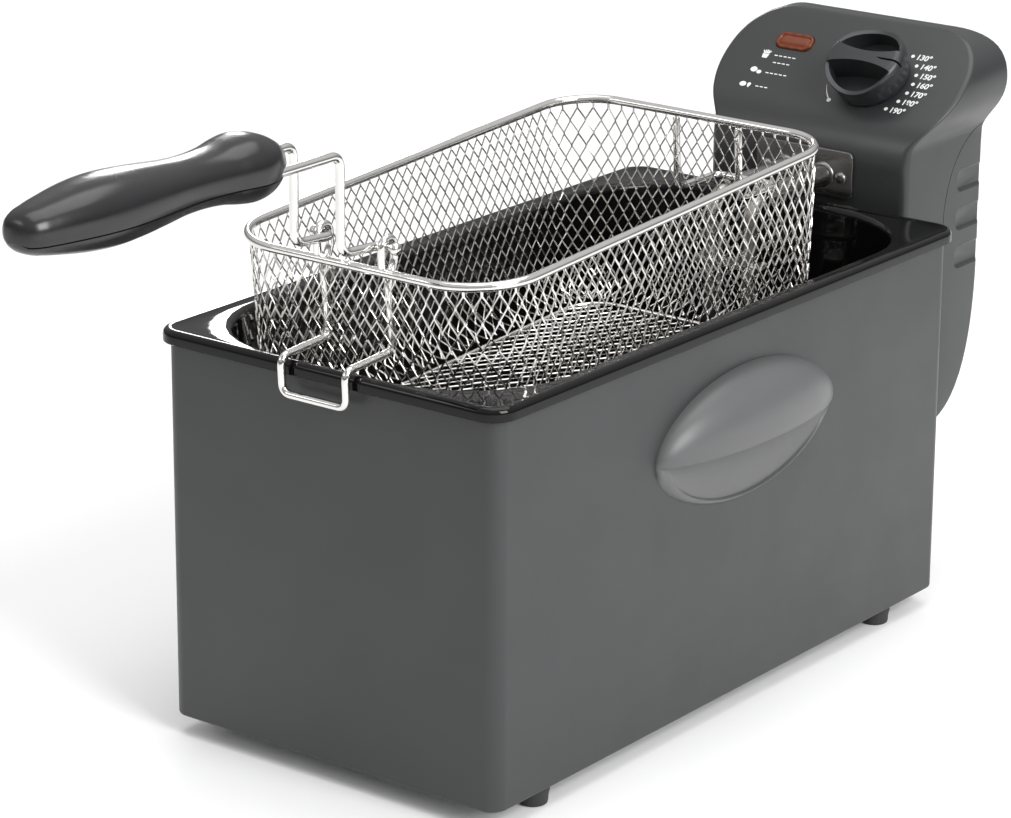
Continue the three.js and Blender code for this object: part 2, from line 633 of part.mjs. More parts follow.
// The knob's rim sinks in a curve between the two ends of the bar.
function aboveRim() {
  const { radius, rim, top } = KNOB;
  const shape = new THREE.Shape();
  shape.moveTo(-radius, top).quadraticCurveTo(0, 2 * rim - top, radius, top);
  shape.lineTo(radius, 30).lineTo(-radius, 30);
  const geometry = new THREE.ExtrudeGeometry(shape, { depth: 60, bevelEnabled: false, curveSegments: 8 });
  return toSolid(geometry.rotateX(Math.PI / 2).translate(0, 30, 0));
}

function thermostatKnob() {
  const { foot, radius, rim, top, bowl, floor } = KNOB;
  const profile = [
    [0, 0.6], [foot, 0.6], [foot + 0.5, 3], [radius, rim - 2], [radius, top - 2.5], [radius - 1, top - 0.8],
    [radius - 3, top], [0, top],
  ].map(([r, n]) => new THREE.Vector2(r, n));
  const body = toSolid(new THREE.LatheGeometry(profile, 28).rotateX(Math.PI / 2));
  const sides = joined(besideBar(-1), besideBar(1));
  const bowls = sides.intersect(rod(at(0, 0, floor), at(0, 0, 30), bowl, 28));
  const bore = rod(at(0, 0, 0), at(0, 0, SHAFT.high + GAP), SHAFT.radius + GAP, 14);
  const notch = box([radius / 2, -0.6, top - 1.4], [radius + 2, 0.6, top + 1]);
  return cut(body, sides.intersect(aboveRim()), bowls, bore, notch);
}

const thermostatShaft = () => rod(at(0, 0, SHAFT.low), at(0, 0, SHAFT.high), SHAFT.radius, 14);

// ---------- basket, in its own frame ----------
// The rim is one wire, butted at the middle of the front.
function basketRim() {
  const { halfWidth, length, cornerFront, cornerBack, rim } = BASKET;
  const half = [at(0.2, 0, 0), at(halfWidth, 0, 0), at(halfWidth, length / 2, 0)];
  const rear = [at(halfWidth, length / 2, 0), at(halfWidth, length, 0), at(0, length, 0)];
  const right = [...bent(half, cornerFront, 6), ...bent(rear, cornerBack, 6).slice(1)];
  const left = mirrored(right).reverse().slice(1);
  return wire([...right, ...left], rim);
}

// The woven basket as one thin open tub, hung below its rim.
function basketMesh() {
  const { halfWidth, length, cornerFront, cornerBack, rim, depth, taper, floorRound, sheet } = BASKET;
  const top = -rim - GAP;
  const [width, full] = [2 * halfWidth + sheet, length + sheet];
  const outer = tub(width, full, cornerFront, tubLevels(-depth, top, taper, floorRound), cornerBack);
  const inner = tubLevels(-depth + sheet, top + 0.1, taper, floorRound, sheet);
  const body = cut(outer, tub(width, full, cornerFront, inner, cornerBack));
  const passage = wire(drainPath(), DRAIN.wire + 0.35);
  return cut(body.translate([0, length / 2, 0]), passage);
}

// From the foot of the right eyelet on the rim, over the pivot, down inside the basket and out over the
// flange.
function drainHalf() {
  const { x, loop, legV, w, reach, drop } = DRAIN;
  const { v: pv, w: pw } = PIVOT;
  const start = at(x, pv - loop, BASKET.rim + 0.25);
  const over = [];
  for (let k = 0; k <= 6; k++) {
    const turn = Math.PI * (1 - k / 6);
    over.push(at(x, pv + loop * Math.cos(turn), pw + loop * Math.sin(turn)));
  }
  const down = bent([at(x, pv + loop, pw), at(x, pv + loop, 3), at(x, legV, -4), at(x, legV + 1.4, w),
    at(x, reach, w), at(x, reach, w - drop), at(0, reach, w - drop)], 4.5, 4);
  return [start, ...over, ...down.slice(1)];
}

function drainPath() {
  const right = drainHalf();
  return [...right.slice(0, -1), ...mirrored(right).reverse().slice(1)];
}

const drainFrame = () => wire(drainPath(), DRAIN.wire);

// The loop behind the basket that lies on the element's sleeves.
function rearRest() {
  const { x, wire: radius, y, z } = REST;
  const back = BASKET.length + BASKET.sheet + radius;
  const corner = inBasket(x, y, z);
  const half = [at(x, back, -4), at(x, back, corner.z), corner];
  return wire(bent([...half, ...mirrored(half).reverse()], 5, 4), radius);
}

// ---------- basket handle ----------
function handlePath() {
  const { x, upY, lowZ, gripZ, bend, pin } = HANDLE;
  const pivot = basket.localToWorld(at(0, PIVOT.v, PIVOT.w));
  const half = [at(pin, pivot.y, pivot.z), at(x, pivot.y, pivot.z), at(x, upY, lowZ), at(x, upY, gripZ),
    at(x, GRIP.wireEnd, gripZ)];
  return bent([...half, ...mirrored(half).reverse()], bend, 4);
}

function handleWire() {
  const pivot = basket.localToWorld(at(0, PIVOT.v, PIVOT.w));
  const caps = [-1, 1].map((side) => {
    const from = at(side * (HANDLE.pin - 1), pivot.y, pivot.z);
    return rod(from, at(side * (HANDLE.pin + 2.4), pivot.y, pivot.z), HANDLE.cap, 12, HANDLE.cap - 0.9);
  });
  return joined(wire(handlePath(), HANDLE.wire), ...caps);
}

// The whole grip, turned about its own axis and widened.
function gripForm() {
  const spline = new THREE.SplineCurve(GRIP_PROFILE.map(([along, half]) => new THREE.Vector2(half, along)));
  const profile = spline.getPoints(18).map((p) => new THREE.Vector2(Math.max(p.x, 0), p.y));
  profile[0].x = 0;
  profile[profile.length - 1].x = 0;
  const geometry = new THREE.LatheGeometry(profile, 18).rotateX(Math.PI).scale(GRIP.width, 1, 1);
  return toSolid(geometry.translate(0, GRIP.front, GRIP.axisZ));
}

function gripHalf(upper) {
  const { parting, front, tip } = GRIP;
  const [low, high] = upper ? [parting + 0.15, 300] : [200, parting - 0.15];
  const half = gripForm().intersect(box([-30, tip - 5, low], [30, front + 5, high]));
  return upper ? cut(half, wire(handlePath(), HANDLE.wire + GAP)) : half;
}

// ---------- assembly ----------
const fryer = new THREE.Group();
const inHouse = [
  mesh("housing_shell", housingShell(), PAINT),
  mesh("base_plate", basePlate(), GALVANISED),
  mesh("carry_handle_right", carryHandle(1), SHELL),
  mesh("carry_handle_left", carryHandle(-1), SHELL),
  mesh("rear_guide", rearGuide(), GALVANISED),
  mesh("oil_tank", oilTank(), ENAMEL),
  mesh("head_front_cover", headFrontCover(), SHELL),
  mesh("head_rear_cover", headRearCover(), SHELL),
  mesh("cord_gland", cordGland(), RUBBER),
  mesh("guide_tongue", guideTongue(), GALVANISED),
  mesh("element_plate", elementPlate(), STEEL),
  mesh("heating_element", heatingElement(), STEEL),
  mesh("riser_clamp", riserClamp(), STEEL),
  mesh("element_bar", elementBar(), STEEL),
  mesh("sensor_tube", sensorTube(), STEEL),
  mesh("thermostat_body", thermostatBody(), PHENOLIC),
  mesh("terminal_block", terminalBlock(), NYLON),
  mesh("thermal_cutout", thermalCutout(), PHENOLIC),
  mesh("interlock_switch", interlockSwitch(), PHENOLIC),
  mesh("reset_button", resetButton(), RED),
  mesh("neon_lamp", neonLamp(), AMBER),
  mesh("lamp_lens", lampLens(), AMBER),
  mesh("handle_wire", handleWire(), CHROME),
  mesh("grip_upper", gripHalf(true), GRIP_BLACK),
  mesh("grip_lower", gripHalf(false), GRIP_BLACK),
];
for (const [name, x, y] of footPlaces()) {
  inHouse.push(mesh(`foot_${name}`, foot(x, y), RUBBER));
  inHouse.push(mesh(`foot_screw_${name}`, footScrew(x, y), GALVANISED));
}
for (const [name, side] of [["left", -1], ["right", 1]]) {
  inHouse.push(mesh(`plate_screw_${name}`, plateScrew(side * PLATE.screwX), STEEL));
  inHouse.push(mesh(`element_sleeve_${name}`, elementSleeve(side * SLEEVE.x), STEEL));
  inHouse.push(mesh(`cover_screw_${name}`, coverScrew(side * CASE_SCREW.x), GALVANISED));
}

const knob = new THREE.Group();
knob.position.set(KNOB.x, KNOB.s, 0);
knob.add(
  mesh("thermostat_knob", thermostatKnob(), SHELL),
  mesh("thermostat_shaft", thermostatShaft(), STEEL),
);
panel.add(knob);

basket.add(
  mesh("basket_rim", basketRim(), CHROME),
  mesh("basket_mesh", basketMesh(), CHROME),
  mesh("drain_frame", drainFrame(), CHROME),
  mesh("rear_rest", rearRest(), CHROME),
);

fryer.add(...inHouse, panel, basket);
// The origin is the middle of the bounding box's underside: under the feet, midway from the grip's tip to the
// head's back.
fryer.position.set(0, -(GRIP.tip + HEAD.back) / 2, FOOT.height);

export default fryer;
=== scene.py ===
"""A counter-top deep fryer: housing, enamelled tank, control head, and a wire basket hung up to drain.

Metres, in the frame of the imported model: +X right, +Y from the basket's grip to the control head, +Z up.
Sizes that the model doesn't hold are written in millimetres and turned into metres by mm() or MM.
"""

import json
import math

import bmesh
import bpy
import numpy as np
from mathutils import Matrix, Vector

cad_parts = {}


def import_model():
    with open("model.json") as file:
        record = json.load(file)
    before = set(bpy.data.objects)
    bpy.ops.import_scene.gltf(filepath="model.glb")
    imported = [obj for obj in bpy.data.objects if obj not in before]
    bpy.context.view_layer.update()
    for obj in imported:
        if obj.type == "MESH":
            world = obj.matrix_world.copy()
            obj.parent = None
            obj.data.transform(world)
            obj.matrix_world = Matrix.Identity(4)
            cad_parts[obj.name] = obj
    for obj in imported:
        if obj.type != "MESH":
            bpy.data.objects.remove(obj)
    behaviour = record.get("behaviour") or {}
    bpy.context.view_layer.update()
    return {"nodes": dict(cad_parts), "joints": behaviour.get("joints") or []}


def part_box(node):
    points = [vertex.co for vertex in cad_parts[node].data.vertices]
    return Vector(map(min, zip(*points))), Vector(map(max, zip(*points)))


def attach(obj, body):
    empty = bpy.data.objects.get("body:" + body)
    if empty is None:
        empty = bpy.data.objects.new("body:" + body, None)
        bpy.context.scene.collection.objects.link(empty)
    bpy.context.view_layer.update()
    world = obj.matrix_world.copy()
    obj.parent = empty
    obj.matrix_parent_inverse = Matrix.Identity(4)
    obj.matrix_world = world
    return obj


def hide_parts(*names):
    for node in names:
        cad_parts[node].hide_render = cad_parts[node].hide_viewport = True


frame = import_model()

MM = 0.001
X, Y, Z = Vector((1, 0, 0)), Vector((0, 1, 0)), Vector((0, 0, 1))
joints = {j["name"]: j for j in frame["joints"]}


def mm(*values):
    """A point given in millimetres."""
    return Vector([v * MM for v in values])


def in_metres(profile):
    """A list of (radius, height) millimetres in metres."""
    return [(radius * MM, height * MM) for radius, height in profile]


# ---------- camera ----------
CAMERA_AT = Vector((0.9753, -1.2714, 0.6632))
CAMERA_TURN, CAMERA_RISE, CAMERA_ROLL = (math.radians(a) for a in (37.875, 18.248, 0.189))
SENSOR_WIDTH, LENS, SHIFT = 36, 140.36, (0.0243, -0.00425)


def make_camera():
    """A long lens from the front right, a little above the flange."""
    camera = bpy.data.objects.new("camera", bpy.data.cameras.new("camera"))
    bpy.context.scene.collection.objects.link(camera)
    turn, rise, roll = CAMERA_TURN, CAMERA_RISE, CAMERA_ROLL
    back = Vector((math.sin(turn) * math.cos(rise), -math.cos(turn) * math.cos(rise), math.sin(rise)))
    level = Vector((math.cos(turn), math.sin(turn), 0))
    rising = back.cross(level)
    right = level * math.cos(roll) + rising * math.sin(roll)
    up = rising * math.cos(roll) - level * math.sin(roll)
    camera.matrix_world = Matrix((right, up, back)).transposed().to_4x4()
    camera.matrix_world.translation = CAMERA_AT
    camera.data.sensor_width = SENSOR_WIDTH
    camera.data.lens = LENS
    camera.data.shift_x, camera.data.shift_y = SHIFT
    bpy.context.scene.camera = camera


make_camera()


# ---------- shared patterns ----------
def pattern(name, inputs, outputs):
    """An empty node group with named inputs {name: default} and float outputs, and its two end nodes."""
    group = bpy.data.node_groups.new(name, "ShaderNodeTree")
    for label, default in inputs.items():
        socket = group.interface.new_socket(name=label, in_out="INPUT", socket_type="NodeSocketFloat")
        socket.default_value = default
    for label in outputs:
        group.interface.new_socket(name=label, in_out="OUTPUT", socket_type="NodeSocketFloat")
    return group, group.nodes.new("NodeGroupInput"), group.nodes.new("NodeGroupOutput")


def noise(nodes, links, coordinates, scale, detail, roughness):
    """A noise texture on given coordinates. scale is a number or a socket."""
    texture = nodes.new("ShaderNodeTexNoise")
    texture.inputs["Detail"].default_value = detail
    texture.inputs["Roughness"].default_value = roughness
    links.new(coordinates, texture.inputs["Vector"])
    if isinstance(scale, (int, float)):
        texture.inputs["Scale"].default_value = scale
    else:
        links.new(scale, texture.inputs["Scale"])
    return texture.outputs["Fac"]


def math_node(nodes, links, operation, first, second):
    """One maths step on two numbers or sockets."""
    node = nodes.new("ShaderNodeMath")
    node.operation = operation
    for socket, value in zip(node.inputs, (first, second)):
        if isinstance(value, (int, float)):
            socket.default_value = value
        else:
            links.new(value, socket)
    return node.outputs[0]


def moulded_grain():
    """Fine spark-eroded grain: height for a bump, and a slow mask for handling marks."""
    inputs = {"Grain Scale": 1800.0, "Mark Scale": 35.0}
    group, source, sink = pattern("moulded_grain", inputs, ["Height", "Mask"])
    nodes, links = group.nodes, group.links
    coordinates = nodes.new("ShaderNodeTexCoord").outputs["Object"]
    coarse = noise(nodes, links, coordinates, source.outputs["Grain Scale"], 2.0, 0.6)
    cells = nodes.new("ShaderNodeTexVoronoi")
    links.new(coordinates, cells.inputs["Vector"])
    links.new(source.outputs["Grain Scale"], cells.inputs["Scale"])
    mixed = math_node(nodes, links, "MULTIPLY", coarse, cells.outputs["Distance"])
    links.new(mixed, sink.inputs["Height"])
    links.new(noise(nodes, links, coordinates, source.outputs["Mark Scale"], 5.0, 0.62), sink.inputs["Mask"])
    return group


def brushed_lines():
    """Long thin scratches along X: height for a bump and a mask for roughness."""
    group, source, sink = pattern("brushed_lines", {"Line Scale": 900.0, "Stretch": 0.03}, ["Height", "Mask"])
    nodes, links = group.nodes, group.links
    coordinates = nodes.new("ShaderNodeTexCoord").outputs["Object"]
    split = nodes.new("ShaderNodeSeparateXYZ")
    links.new(coordinates, split.inputs[0])
    merge = nodes.new("ShaderNodeCombineXYZ")
    shortened = math_node(nodes, links, "MULTIPLY", split.outputs["X"], source.outputs["Stretch"])
    links.new(shortened, merge.inputs["X"])
    links.new(split.outputs["Y"], merge.inputs["Y"])
    links.new(split.outputs["Z"], merge.inputs["Z"])
    lines = noise(nodes, links, merge.outputs[0], source.outputs["Line Scale"], 4.0, 0.7)
    links.new(lines, sink.inputs["Height"])
    broad = math_node(nodes, links, "MULTIPLY", source.outputs["Line Scale"], 0.12)
    links.new(noise(nodes, links, merge.outputs[0], broad, 3.0, 0.6), sink.inputs["Mask"])
    return group


def faint_dust():
    """Where fine dust settles: faces that look up, broken up by noise."""
    group, source, sink = pattern("faint_dust", {"Amount": 0.3, "Speck Scale": 220.0}, ["Mask"])
    nodes, links = group.nodes, group.links
    split = nodes.new("ShaderNodeSeparateXYZ")
    links.new(nodes.new("ShaderNodeNewGeometry").outputs["Normal"], split.inputs[0])
    up = math_node(nodes, links, "MAXIMUM", split.outputs["Z"], 0.0)
    coordinates = nodes.new("ShaderNodeTexCoord").outputs["Object"]
    specks = noise(nodes, links, coordinates, source.outputs["Speck Scale"], 6.0, 0.7)
    settled = math_node(nodes, links, "MULTIPLY", up, specks)
    links.new(math_node(nodes, links, "MULTIPLY", settled, source.outputs["Amount"]), sink.inputs["Mask"])
    return group


GRAIN, BRUSHED, DUST = moulded_grain(), brushed_lines(), faint_dust()


# ---------- materials ----------
class Finish:
    """One material under construction: its Principled node and the sockets that its patterns feed."""

    def __init__(self, name, color, roughness, **constants):
        self.material = bpy.data.materials.new(name)
        self.material.use_nodes = True
        self.nodes, self.links = self.material.node_tree.nodes, self.material.node_tree.links
        self.shader = self.nodes["Principled BSDF"]
        self.color = (*color, 1)
        self.shader.inputs["Base Color"].default_value = self.color
        self.shader.inputs["Roughness"].default_value = roughness
        for label, value in constants.items():
            self.shader.inputs[label.replace("_", " ")].default_value = value

    def group(self, tree, **values):
        node = self.nodes.new("ShaderNodeGroup")
        node.node_tree = tree
        for label, value in values.items():
            node.inputs[label.replace("_", " ")].default_value = value
        return node.outputs

    def vary_color(self, mask, other):
        mix = self.nodes.new("ShaderNodeMix")
        mix.data_type = "RGBA"
        mix.inputs["A"].default_value = self.color
        mix.inputs["B"].default_value = (*other, 1)
        self.links.new(mask, mix.inputs["Factor"])
        self.links.new(mix.outputs["Result"], self.shader.inputs["Base Color"])
        return self

    def vary_roughness(self, mask, low, high):
        spread = self.nodes.new("ShaderNodeMapRange")
        spread.inputs["From Min"].default_value = 0.3
        spread.inputs["From Max"].default_value = 0.7
        spread.inputs["To Min"].default_value = low
        spread.inputs["To Max"].default_value = high
        self.links.new(mask, spread.inputs["Value"])
        self.links.new(spread.outputs["Result"], self.shader.inputs["Roughness"])
        return self

    def bump(self, height, depth, strength):
        node = self.nodes.new("ShaderNodeBump")
        node.inputs["Strength"].default_value = strength
        node.inputs["Distance"].default_value = depth
        self.links.new(height, node.inputs["Height"])
        self.links.new(node.outputs["Normal"], self.shader.inputs["Normal"])
        return self


def moulded(name, color, roughness, spread, grain, depth, dust, **constants):
    """A moulded plastic, rubber or paint: grain, handling marks in its gloss, and a little dust."""
    made = Finish(name, color, roughness, **constants)
    surface = made.group(GRAIN, Grain_Scale=grain, Mark_Scale=28.0)
    made.vary_roughness(surface["Mask"], roughness - spread, roughness + spread)
    made.bump(surface["Height"], depth, 0.5)
    if dust:
        pale = [c + 0.12 for c in color]
        made.vary_color(made.group(DUST, Amount=dust, Speck_Scale=260.0)["Mask"], pale)
    return made.material


def plated(name, color, low, high, scale, stretch, depth):
    """Bare or plated metal with drawn or brushed lines."""
    made = Finish(name, color, low, Metallic=1.0)
    lines = made.group(BRUSHED, Line_Scale=scale, Stretch=stretch)
    made.vary_roughness(lines["Mask"], low, high)
    made.bump(lines["Height"], depth, 0.35)
    made.vary_color(lines["Mask"], [c * 0.86 for c in color])
    return made.material


PAINT = moulded("anthracite_paint", (0.033, 0.034, 0.035), 0.42, 0.05, 2600.0, 0.00003, 0.05)
ENAMEL = moulded("black_enamel", (0.004, 0.004, 0.004), 0.06, 0.03, 120.0, 0.00004, 0.02,
                 Specular_IOR_Level=0.25)
SHELL = moulded("head_moulding", (0.026, 0.027, 0.028), 0.34, 0.05, 2200.0, 0.00005, 0.06)
HANDLE_SHELL = moulded("carry_handle_moulding", (0.098, 0.099, 0.101), 0.38, 0.05, 2200.0, 0.00004, 0.04)
KNOB_BLACK = moulded("knob_moulding", (0.020, 0.021, 0.023), 0.34, 0.05, 2000.0, 0.00004, 0.04)
GRIP_BLACK = moulded("grip_moulding", (0.012, 0.012, 0.013), 0.24, 0.06, 2400.0, 0.00003, 0.05)
RUBBER = moulded("foot_rubber", (0.03, 0.03, 0.03), 0.72, 0.08, 1500.0, 0.00008, 0.1)
PHENOLIC = moulded("switch_moulding", (0.075, 0.05, 0.035), 0.5, 0.08, 1500.0, 0.00005, 0.0)
NYLON = moulded("terminal_nylon", (0.62, 0.58, 0.5), 0.45, 0.06, 1500.0, 0.00004, 0.0)
RED = moulded("reset_red", (0.36, 0.02, 0.015), 0.3, 0.05, 1500.0, 0.00003, 0.0)
PRINT = moulded("panel_print", (0.78, 0.78, 0.77), 0.45, 0.05, 2500.0, 0.00001, 0.0)
CHROME = plated("bright_wire", (0.82, 0.81, 0.79), 0.06, 0.16, 700.0, 0.3, 0.000015)
MESH_CHROME = plated("bright_mesh", (0.84, 0.82, 0.79), 0.12, 0.26, 900.0, 0.5, 0.00002)
STEEL = plated("brushed_plate", (0.30, 0.295, 0.285), 0.22, 0.38, 1200.0, 0.03, 0.00003)
ELEMENT_STEEL = plated("element_sheath", (0.42, 0.40, 0.37), 0.24, 0.42, 600.0, 0.5, 0.00004)
ZINC = plated("zinc_sheet", (0.52, 0.53, 0.54), 0.34, 0.5, 260.0, 0.9, 0.00003)


def amber_material(name, color, roughness, ribs):
    """Clear amber plastic with fine ribs, with a faint painted glow for light let through it from behind."""
    made = Finish(name, color, roughness, Coat_Weight=0.15, Coat_Roughness=0.05, Specular_IOR_Level=0.3)
    wave = made.nodes.new("ShaderNodeTexWave")
    wave.bands_direction = "X"
    wave.inputs["Scale"].default_value = ribs
    wave.inputs["Distortion"].default_value = 0.4
    made.links.new(made.nodes.new("ShaderNodeTexCoord").outputs["Object"], wave.inputs["Vector"])
    made.vary_color(wave.outputs["Fac"], [c * 0.62 for c in color])
    made.bump(wave.outputs["Fac"], 0.0002, 0.5)
    # painted glow: a weak emission stands in for light passing through the amber
    made.shader.inputs["Emission Color"].default_value = (*color, 1)
    made.shader.inputs["Emission Strength"].default_value = 0.08
    return made.material


AMBER_RIM = amber_material("lens_rim_amber", (0.17, 0.032, 0.006), 0.22, 60.0)
AMBER = amber_material("lens_window_amber", (0.16, 0.026, 0.003), 0.2, 420.0)


# ---------- meshes ----------
def linked(name, data):
    """A new object in the scene for a mesh, a light or a text."""
    made = bpy.data.objects.new(name, data)
    bpy.context.scene.collection.objects.link(made)
    return made


def new_object(name, vertices, faces, material, sharp=35):
    """A mesh object with its doubled points merged and its faces turned outwards."""
    mesh = bpy.data.meshes.new(name)
    mesh.from_pydata([tuple(v) for v in vertices], [], faces)
    made = linked(name, mesh)
    form = bmesh.new()
    form.from_mesh(mesh)
    bmesh.ops.remove_doubles(form, verts=form.verts, dist=1e-7)
    bmesh.ops.recalc_face_normals(form, faces=form.faces)
    form.to_mesh(mesh)
    form.free()
    if material:
        mesh.materials.append(material)
    shade(made, sharp)
    return made


def shade(made, sharp=35):
    """Smooth shading, with edges sharper than the given angle kept hard."""
    mesh = made.data
    mesh.polygons.foreach_set("use_smooth", [True] * len(mesh.polygons))
    mesh.set_sharp_from_angle(angle=math.radians(sharp))


def refinish(made, material, sharp=35):
    """Gives a carved piece its one material and its shading back."""
    made.data.materials.clear()
    made.data.materials.append(material)
    shade(made, sharp)


def place(made, body, slot, *nodes):
    """Hangs a piece on the body that it rides on, and hides the nodes that it stands for. slot is not used.
    """
    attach(made, body)
    if nodes:
        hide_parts(*nodes)
    return made


def skin(rings, loop=False):
    """Vertices and faces of a surface through rings of equal length, capped unless it closes on itself."""
    size = len(rings[0])
    vertices = [point for ring in rings for point in ring]
    faces = []
    for k in range(len(rings) if loop else len(rings) - 1):
        a, b = k * size, (k + 1) % len(rings) * size
        faces += [(a + i, a + (i + 1) % size, b + (i + 1) % size, b + i) for i in range(size)]
    if not loop:
        faces += [tuple(range(size))[::-1], tuple(range(len(vertices) - size, len(vertices)))]
    return vertices, faces


def soften(made, width, segments=2, angle=35):
    """A bevel on the piece's hard edges, so that they catch light as real edges do."""
    bevel = made.modifiers.new("edge", "BEVEL")
    bevel.width = width
    bevel.segments = segments
    bevel.limit_method = "ANGLE"
    bevel.angle_limit = math.radians(angle)
    bevel.harden_normals = True
    return made


def carve(made, cutter, operation="DIFFERENCE"):
    """Cuts, joins or keeps the common part at once, and removes the cutter."""
    modifier = made.modifiers.new("carve", "BOOLEAN")
    modifier.operation = operation
    modifier.solver = "EXACT"
    modifier.object = cutter
    graph = bpy.context.evaluated_depsgraph_get()
    mesh = bpy.data.meshes.new_from_object(made.evaluated_get(graph))
    made.modifiers.remove(modifier)
    made.data = mesh
    bpy.data.objects.remove(cutter)
    return made


def rounded_ring(half_x, front, back, corner_front, corner_back, z, steps=8):
    """A level rectangle with round corners, as a ring of points that starts at its front left."""
    ring = []
    for x, y, radius, start in (
        (half_x - corner_front, front + corner_front, corner_front, -90),
        (half_x - corner_back, back - corner_back, corner_back, 0),
        (corner_back - half_x, back - corner_back, corner_back, 90),
        (corner_front - half_x, front + corner_front, corner_front, 180),
    ):
        for k in range(steps + 1):
            turn = math.radians(start + 90 * k / steps)
            ring.append(Vector((x + radius * math.cos(turn), y + radius * math.sin(turn), z)))
    return ring


def quarter(steps=6):
    """(sin, 1 - cos) pairs along a quarter turn."""
    return [(math.sin(t), 1 - math.cos(t)) for t in (math.pi / 2 * k / steps for k in range(steps + 1))]


def bend(points, radius, steps=10):
    """A line through points with its corners rounded."""
    line = [points[0]]
    for before, corner, after in zip(points, points[1:], points[2:]):
        back, on = before - corner, after - corner
        reach = min(radius, 0.49 * back.length, 0.49 * on.length)
        start, end = corner + back.normalized() * reach, corner + on.normalized() * reach
        for k in range(steps + 1):
            t = k / steps
            line.append(start * (1 - t) ** 2 + corner * 2 * t * (1 - t) + end * t * t)
    return line + [points[-1]]


def sweep_rings(points, radius, sides, closed=False):
    """Round sections along a line, carried without twist. radius is a number or one number a point."""
    count = len(points)
    radii = [radius] * count if isinstance(radius, (int, float)) else radius
    rings, normal = [], None
    for i, point in enumerate(points):
        before = points[i - 1] if i or closed else point
        after = points[(i + 1) % count] if i < count - 1 or closed else point
        along = (after - before).normalized()
        if normal is None:
            normal = along.cross(Z if abs(along.z) < 0.9 else X)
        normal = (normal - along * normal.dot(along)).normalized()
        side = along.cross(normal)
        turns = [2 * math.pi * k / sides for k in range(sides)]
        rings.append([point + (normal * math.cos(t) + side * math.sin(t)) * radii[i] for t in turns])
    return rings


def wire(name, points, radius, material, sides, closed=False):
    """A round wire with its ends slightly rounded off."""
    if closed:
        return new_object(name, *skin(sweep_rings(points, radius, sides, True), loop=True), material)
    first, last = (points[0] - points[1]).normalized(), (points[-1] - points[-2]).normalized()
    tips = [(0.35, 0.72), (0.2, 0.9), (0.06, 0.98)]
    line = [points[0] + first * radius * a for a, _ in tips] + list(points)
    line += [points[-1] + last * radius * a for a, _ in tips[::-1]]
    shares = [b for _, b in tips] + [1] * len(points) + [b for _, b in tips[::-1]]
    return new_object(name, *skin(sweep_rings(line, [radius * s for s in shares], sides)), material, 50)


def turned_rings(profile, foot, axis, sides):
    """Rings round an axis. profile is a list of (radius, distance from foot along the axis) millimetres."""
    axis = axis.normalized()
    across = axis.cross(X if abs(axis.x) < 0.9 else Y).normalized()
    third = axis.cross(across)
    turns = [2 * math.pi * k / sides for k in range(sides)]
    spokes = [across * math.cos(t) + third * math.sin(t) for t in turns]
    return [
        [foot + axis * along + spoke * max(radius, 1e-5) for spoke in spokes]
        for radius, along in in_metres(profile)
    ]


def turned(name, profile, foot, axis, material, sides):
    """A solid turned piece, whose profile starts and ends on its axis."""
    return new_object(name, *skin(turned_rings(profile, foot, axis, sides)), material)


def turned_tube(name, profile, foot, axis, material):
    """A turned piece with a hole through it: its profile closes on itself."""
    return new_object(name, *skin(turned_rings(profile, foot, axis, 40), loop=True), material)


def slab(name, low, high, corner, material, axis=2):
    """A flat plate with round corners in the plane across an axis."""
    a, b = [i for i in range(3) if i != axis]
    rings = []
    for level in (low[axis], high[axis]):
        flat = rounded_ring((high[a] - low[a]) / 2, low[b], high[b], corner, corner, level, 6)
        middle = (high[a] + low[a]) / 2
        ring = []
        for p in flat:
            point = Vector((0, 0, 0))
            point[a], point[b], point[axis] = p.x + middle, p.y, level
            ring.append(point)
        rings.append(ring)
    return new_object(name, *skin(rings), material)


def side_prism(name, outline, half):
    """A prism of an outline of (y, z) points, between x = -half and x = half."""
    rings = [[Vector((x, y, z)) for y, z in outline] for x in (-half, half)]
    return new_object(name, *skin(rings), None)


def joined(name, objects, material):
    """Several objects as one mesh."""
    form = bmesh.new()
    for part in objects:
        part.data.transform(part.matrix_world)
        form.from_mesh(part.data)
        bpy.data.objects.remove(part)
    mesh = bpy.data.meshes.new(name)
    form.to_mesh(mesh)
    form.free()
    mesh.materials.append(material)
    made = linked(name, mesh)
    shade(made)
    return made


# ---------- housing ----------
HOUSE_LOW, HOUSE_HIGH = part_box("housing_shell")
TANK_LOW, TANK_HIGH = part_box("oil_tank")
SHEET = 1.2 * MM
HOUSE_CORNER = 7.5 * MM
MOUTH = {"half_x": 80.5 * MM, "half_y": 163 * MM, "corner": 50 * MM}


def house_ring(inset, z):
    """A ring of the housing's outside, drawn in by an inset."""
    corner = max(HOUSE_CORNER - inset, 0.8 * MM)
    return rounded_ring(HOUSE_HIGH.x - inset, HOUSE_LOW.y + inset, HOUSE_HIGH.y - inset, corner, corner, z)


def mouth_ring(grown, z):
    """A ring of the tank's mouth, grown outwards or, when negative, drawn in."""
    middle = (HOUSE_LOW.y + HOUSE_HIGH.y) / 2
    half_y, corner = MOUTH["half_y"] + grown, MOUTH["corner"] + grown
    return rounded_ring(MOUTH["half_x"] + grown, middle - half_y, middle + half_y, corner, corner, z)


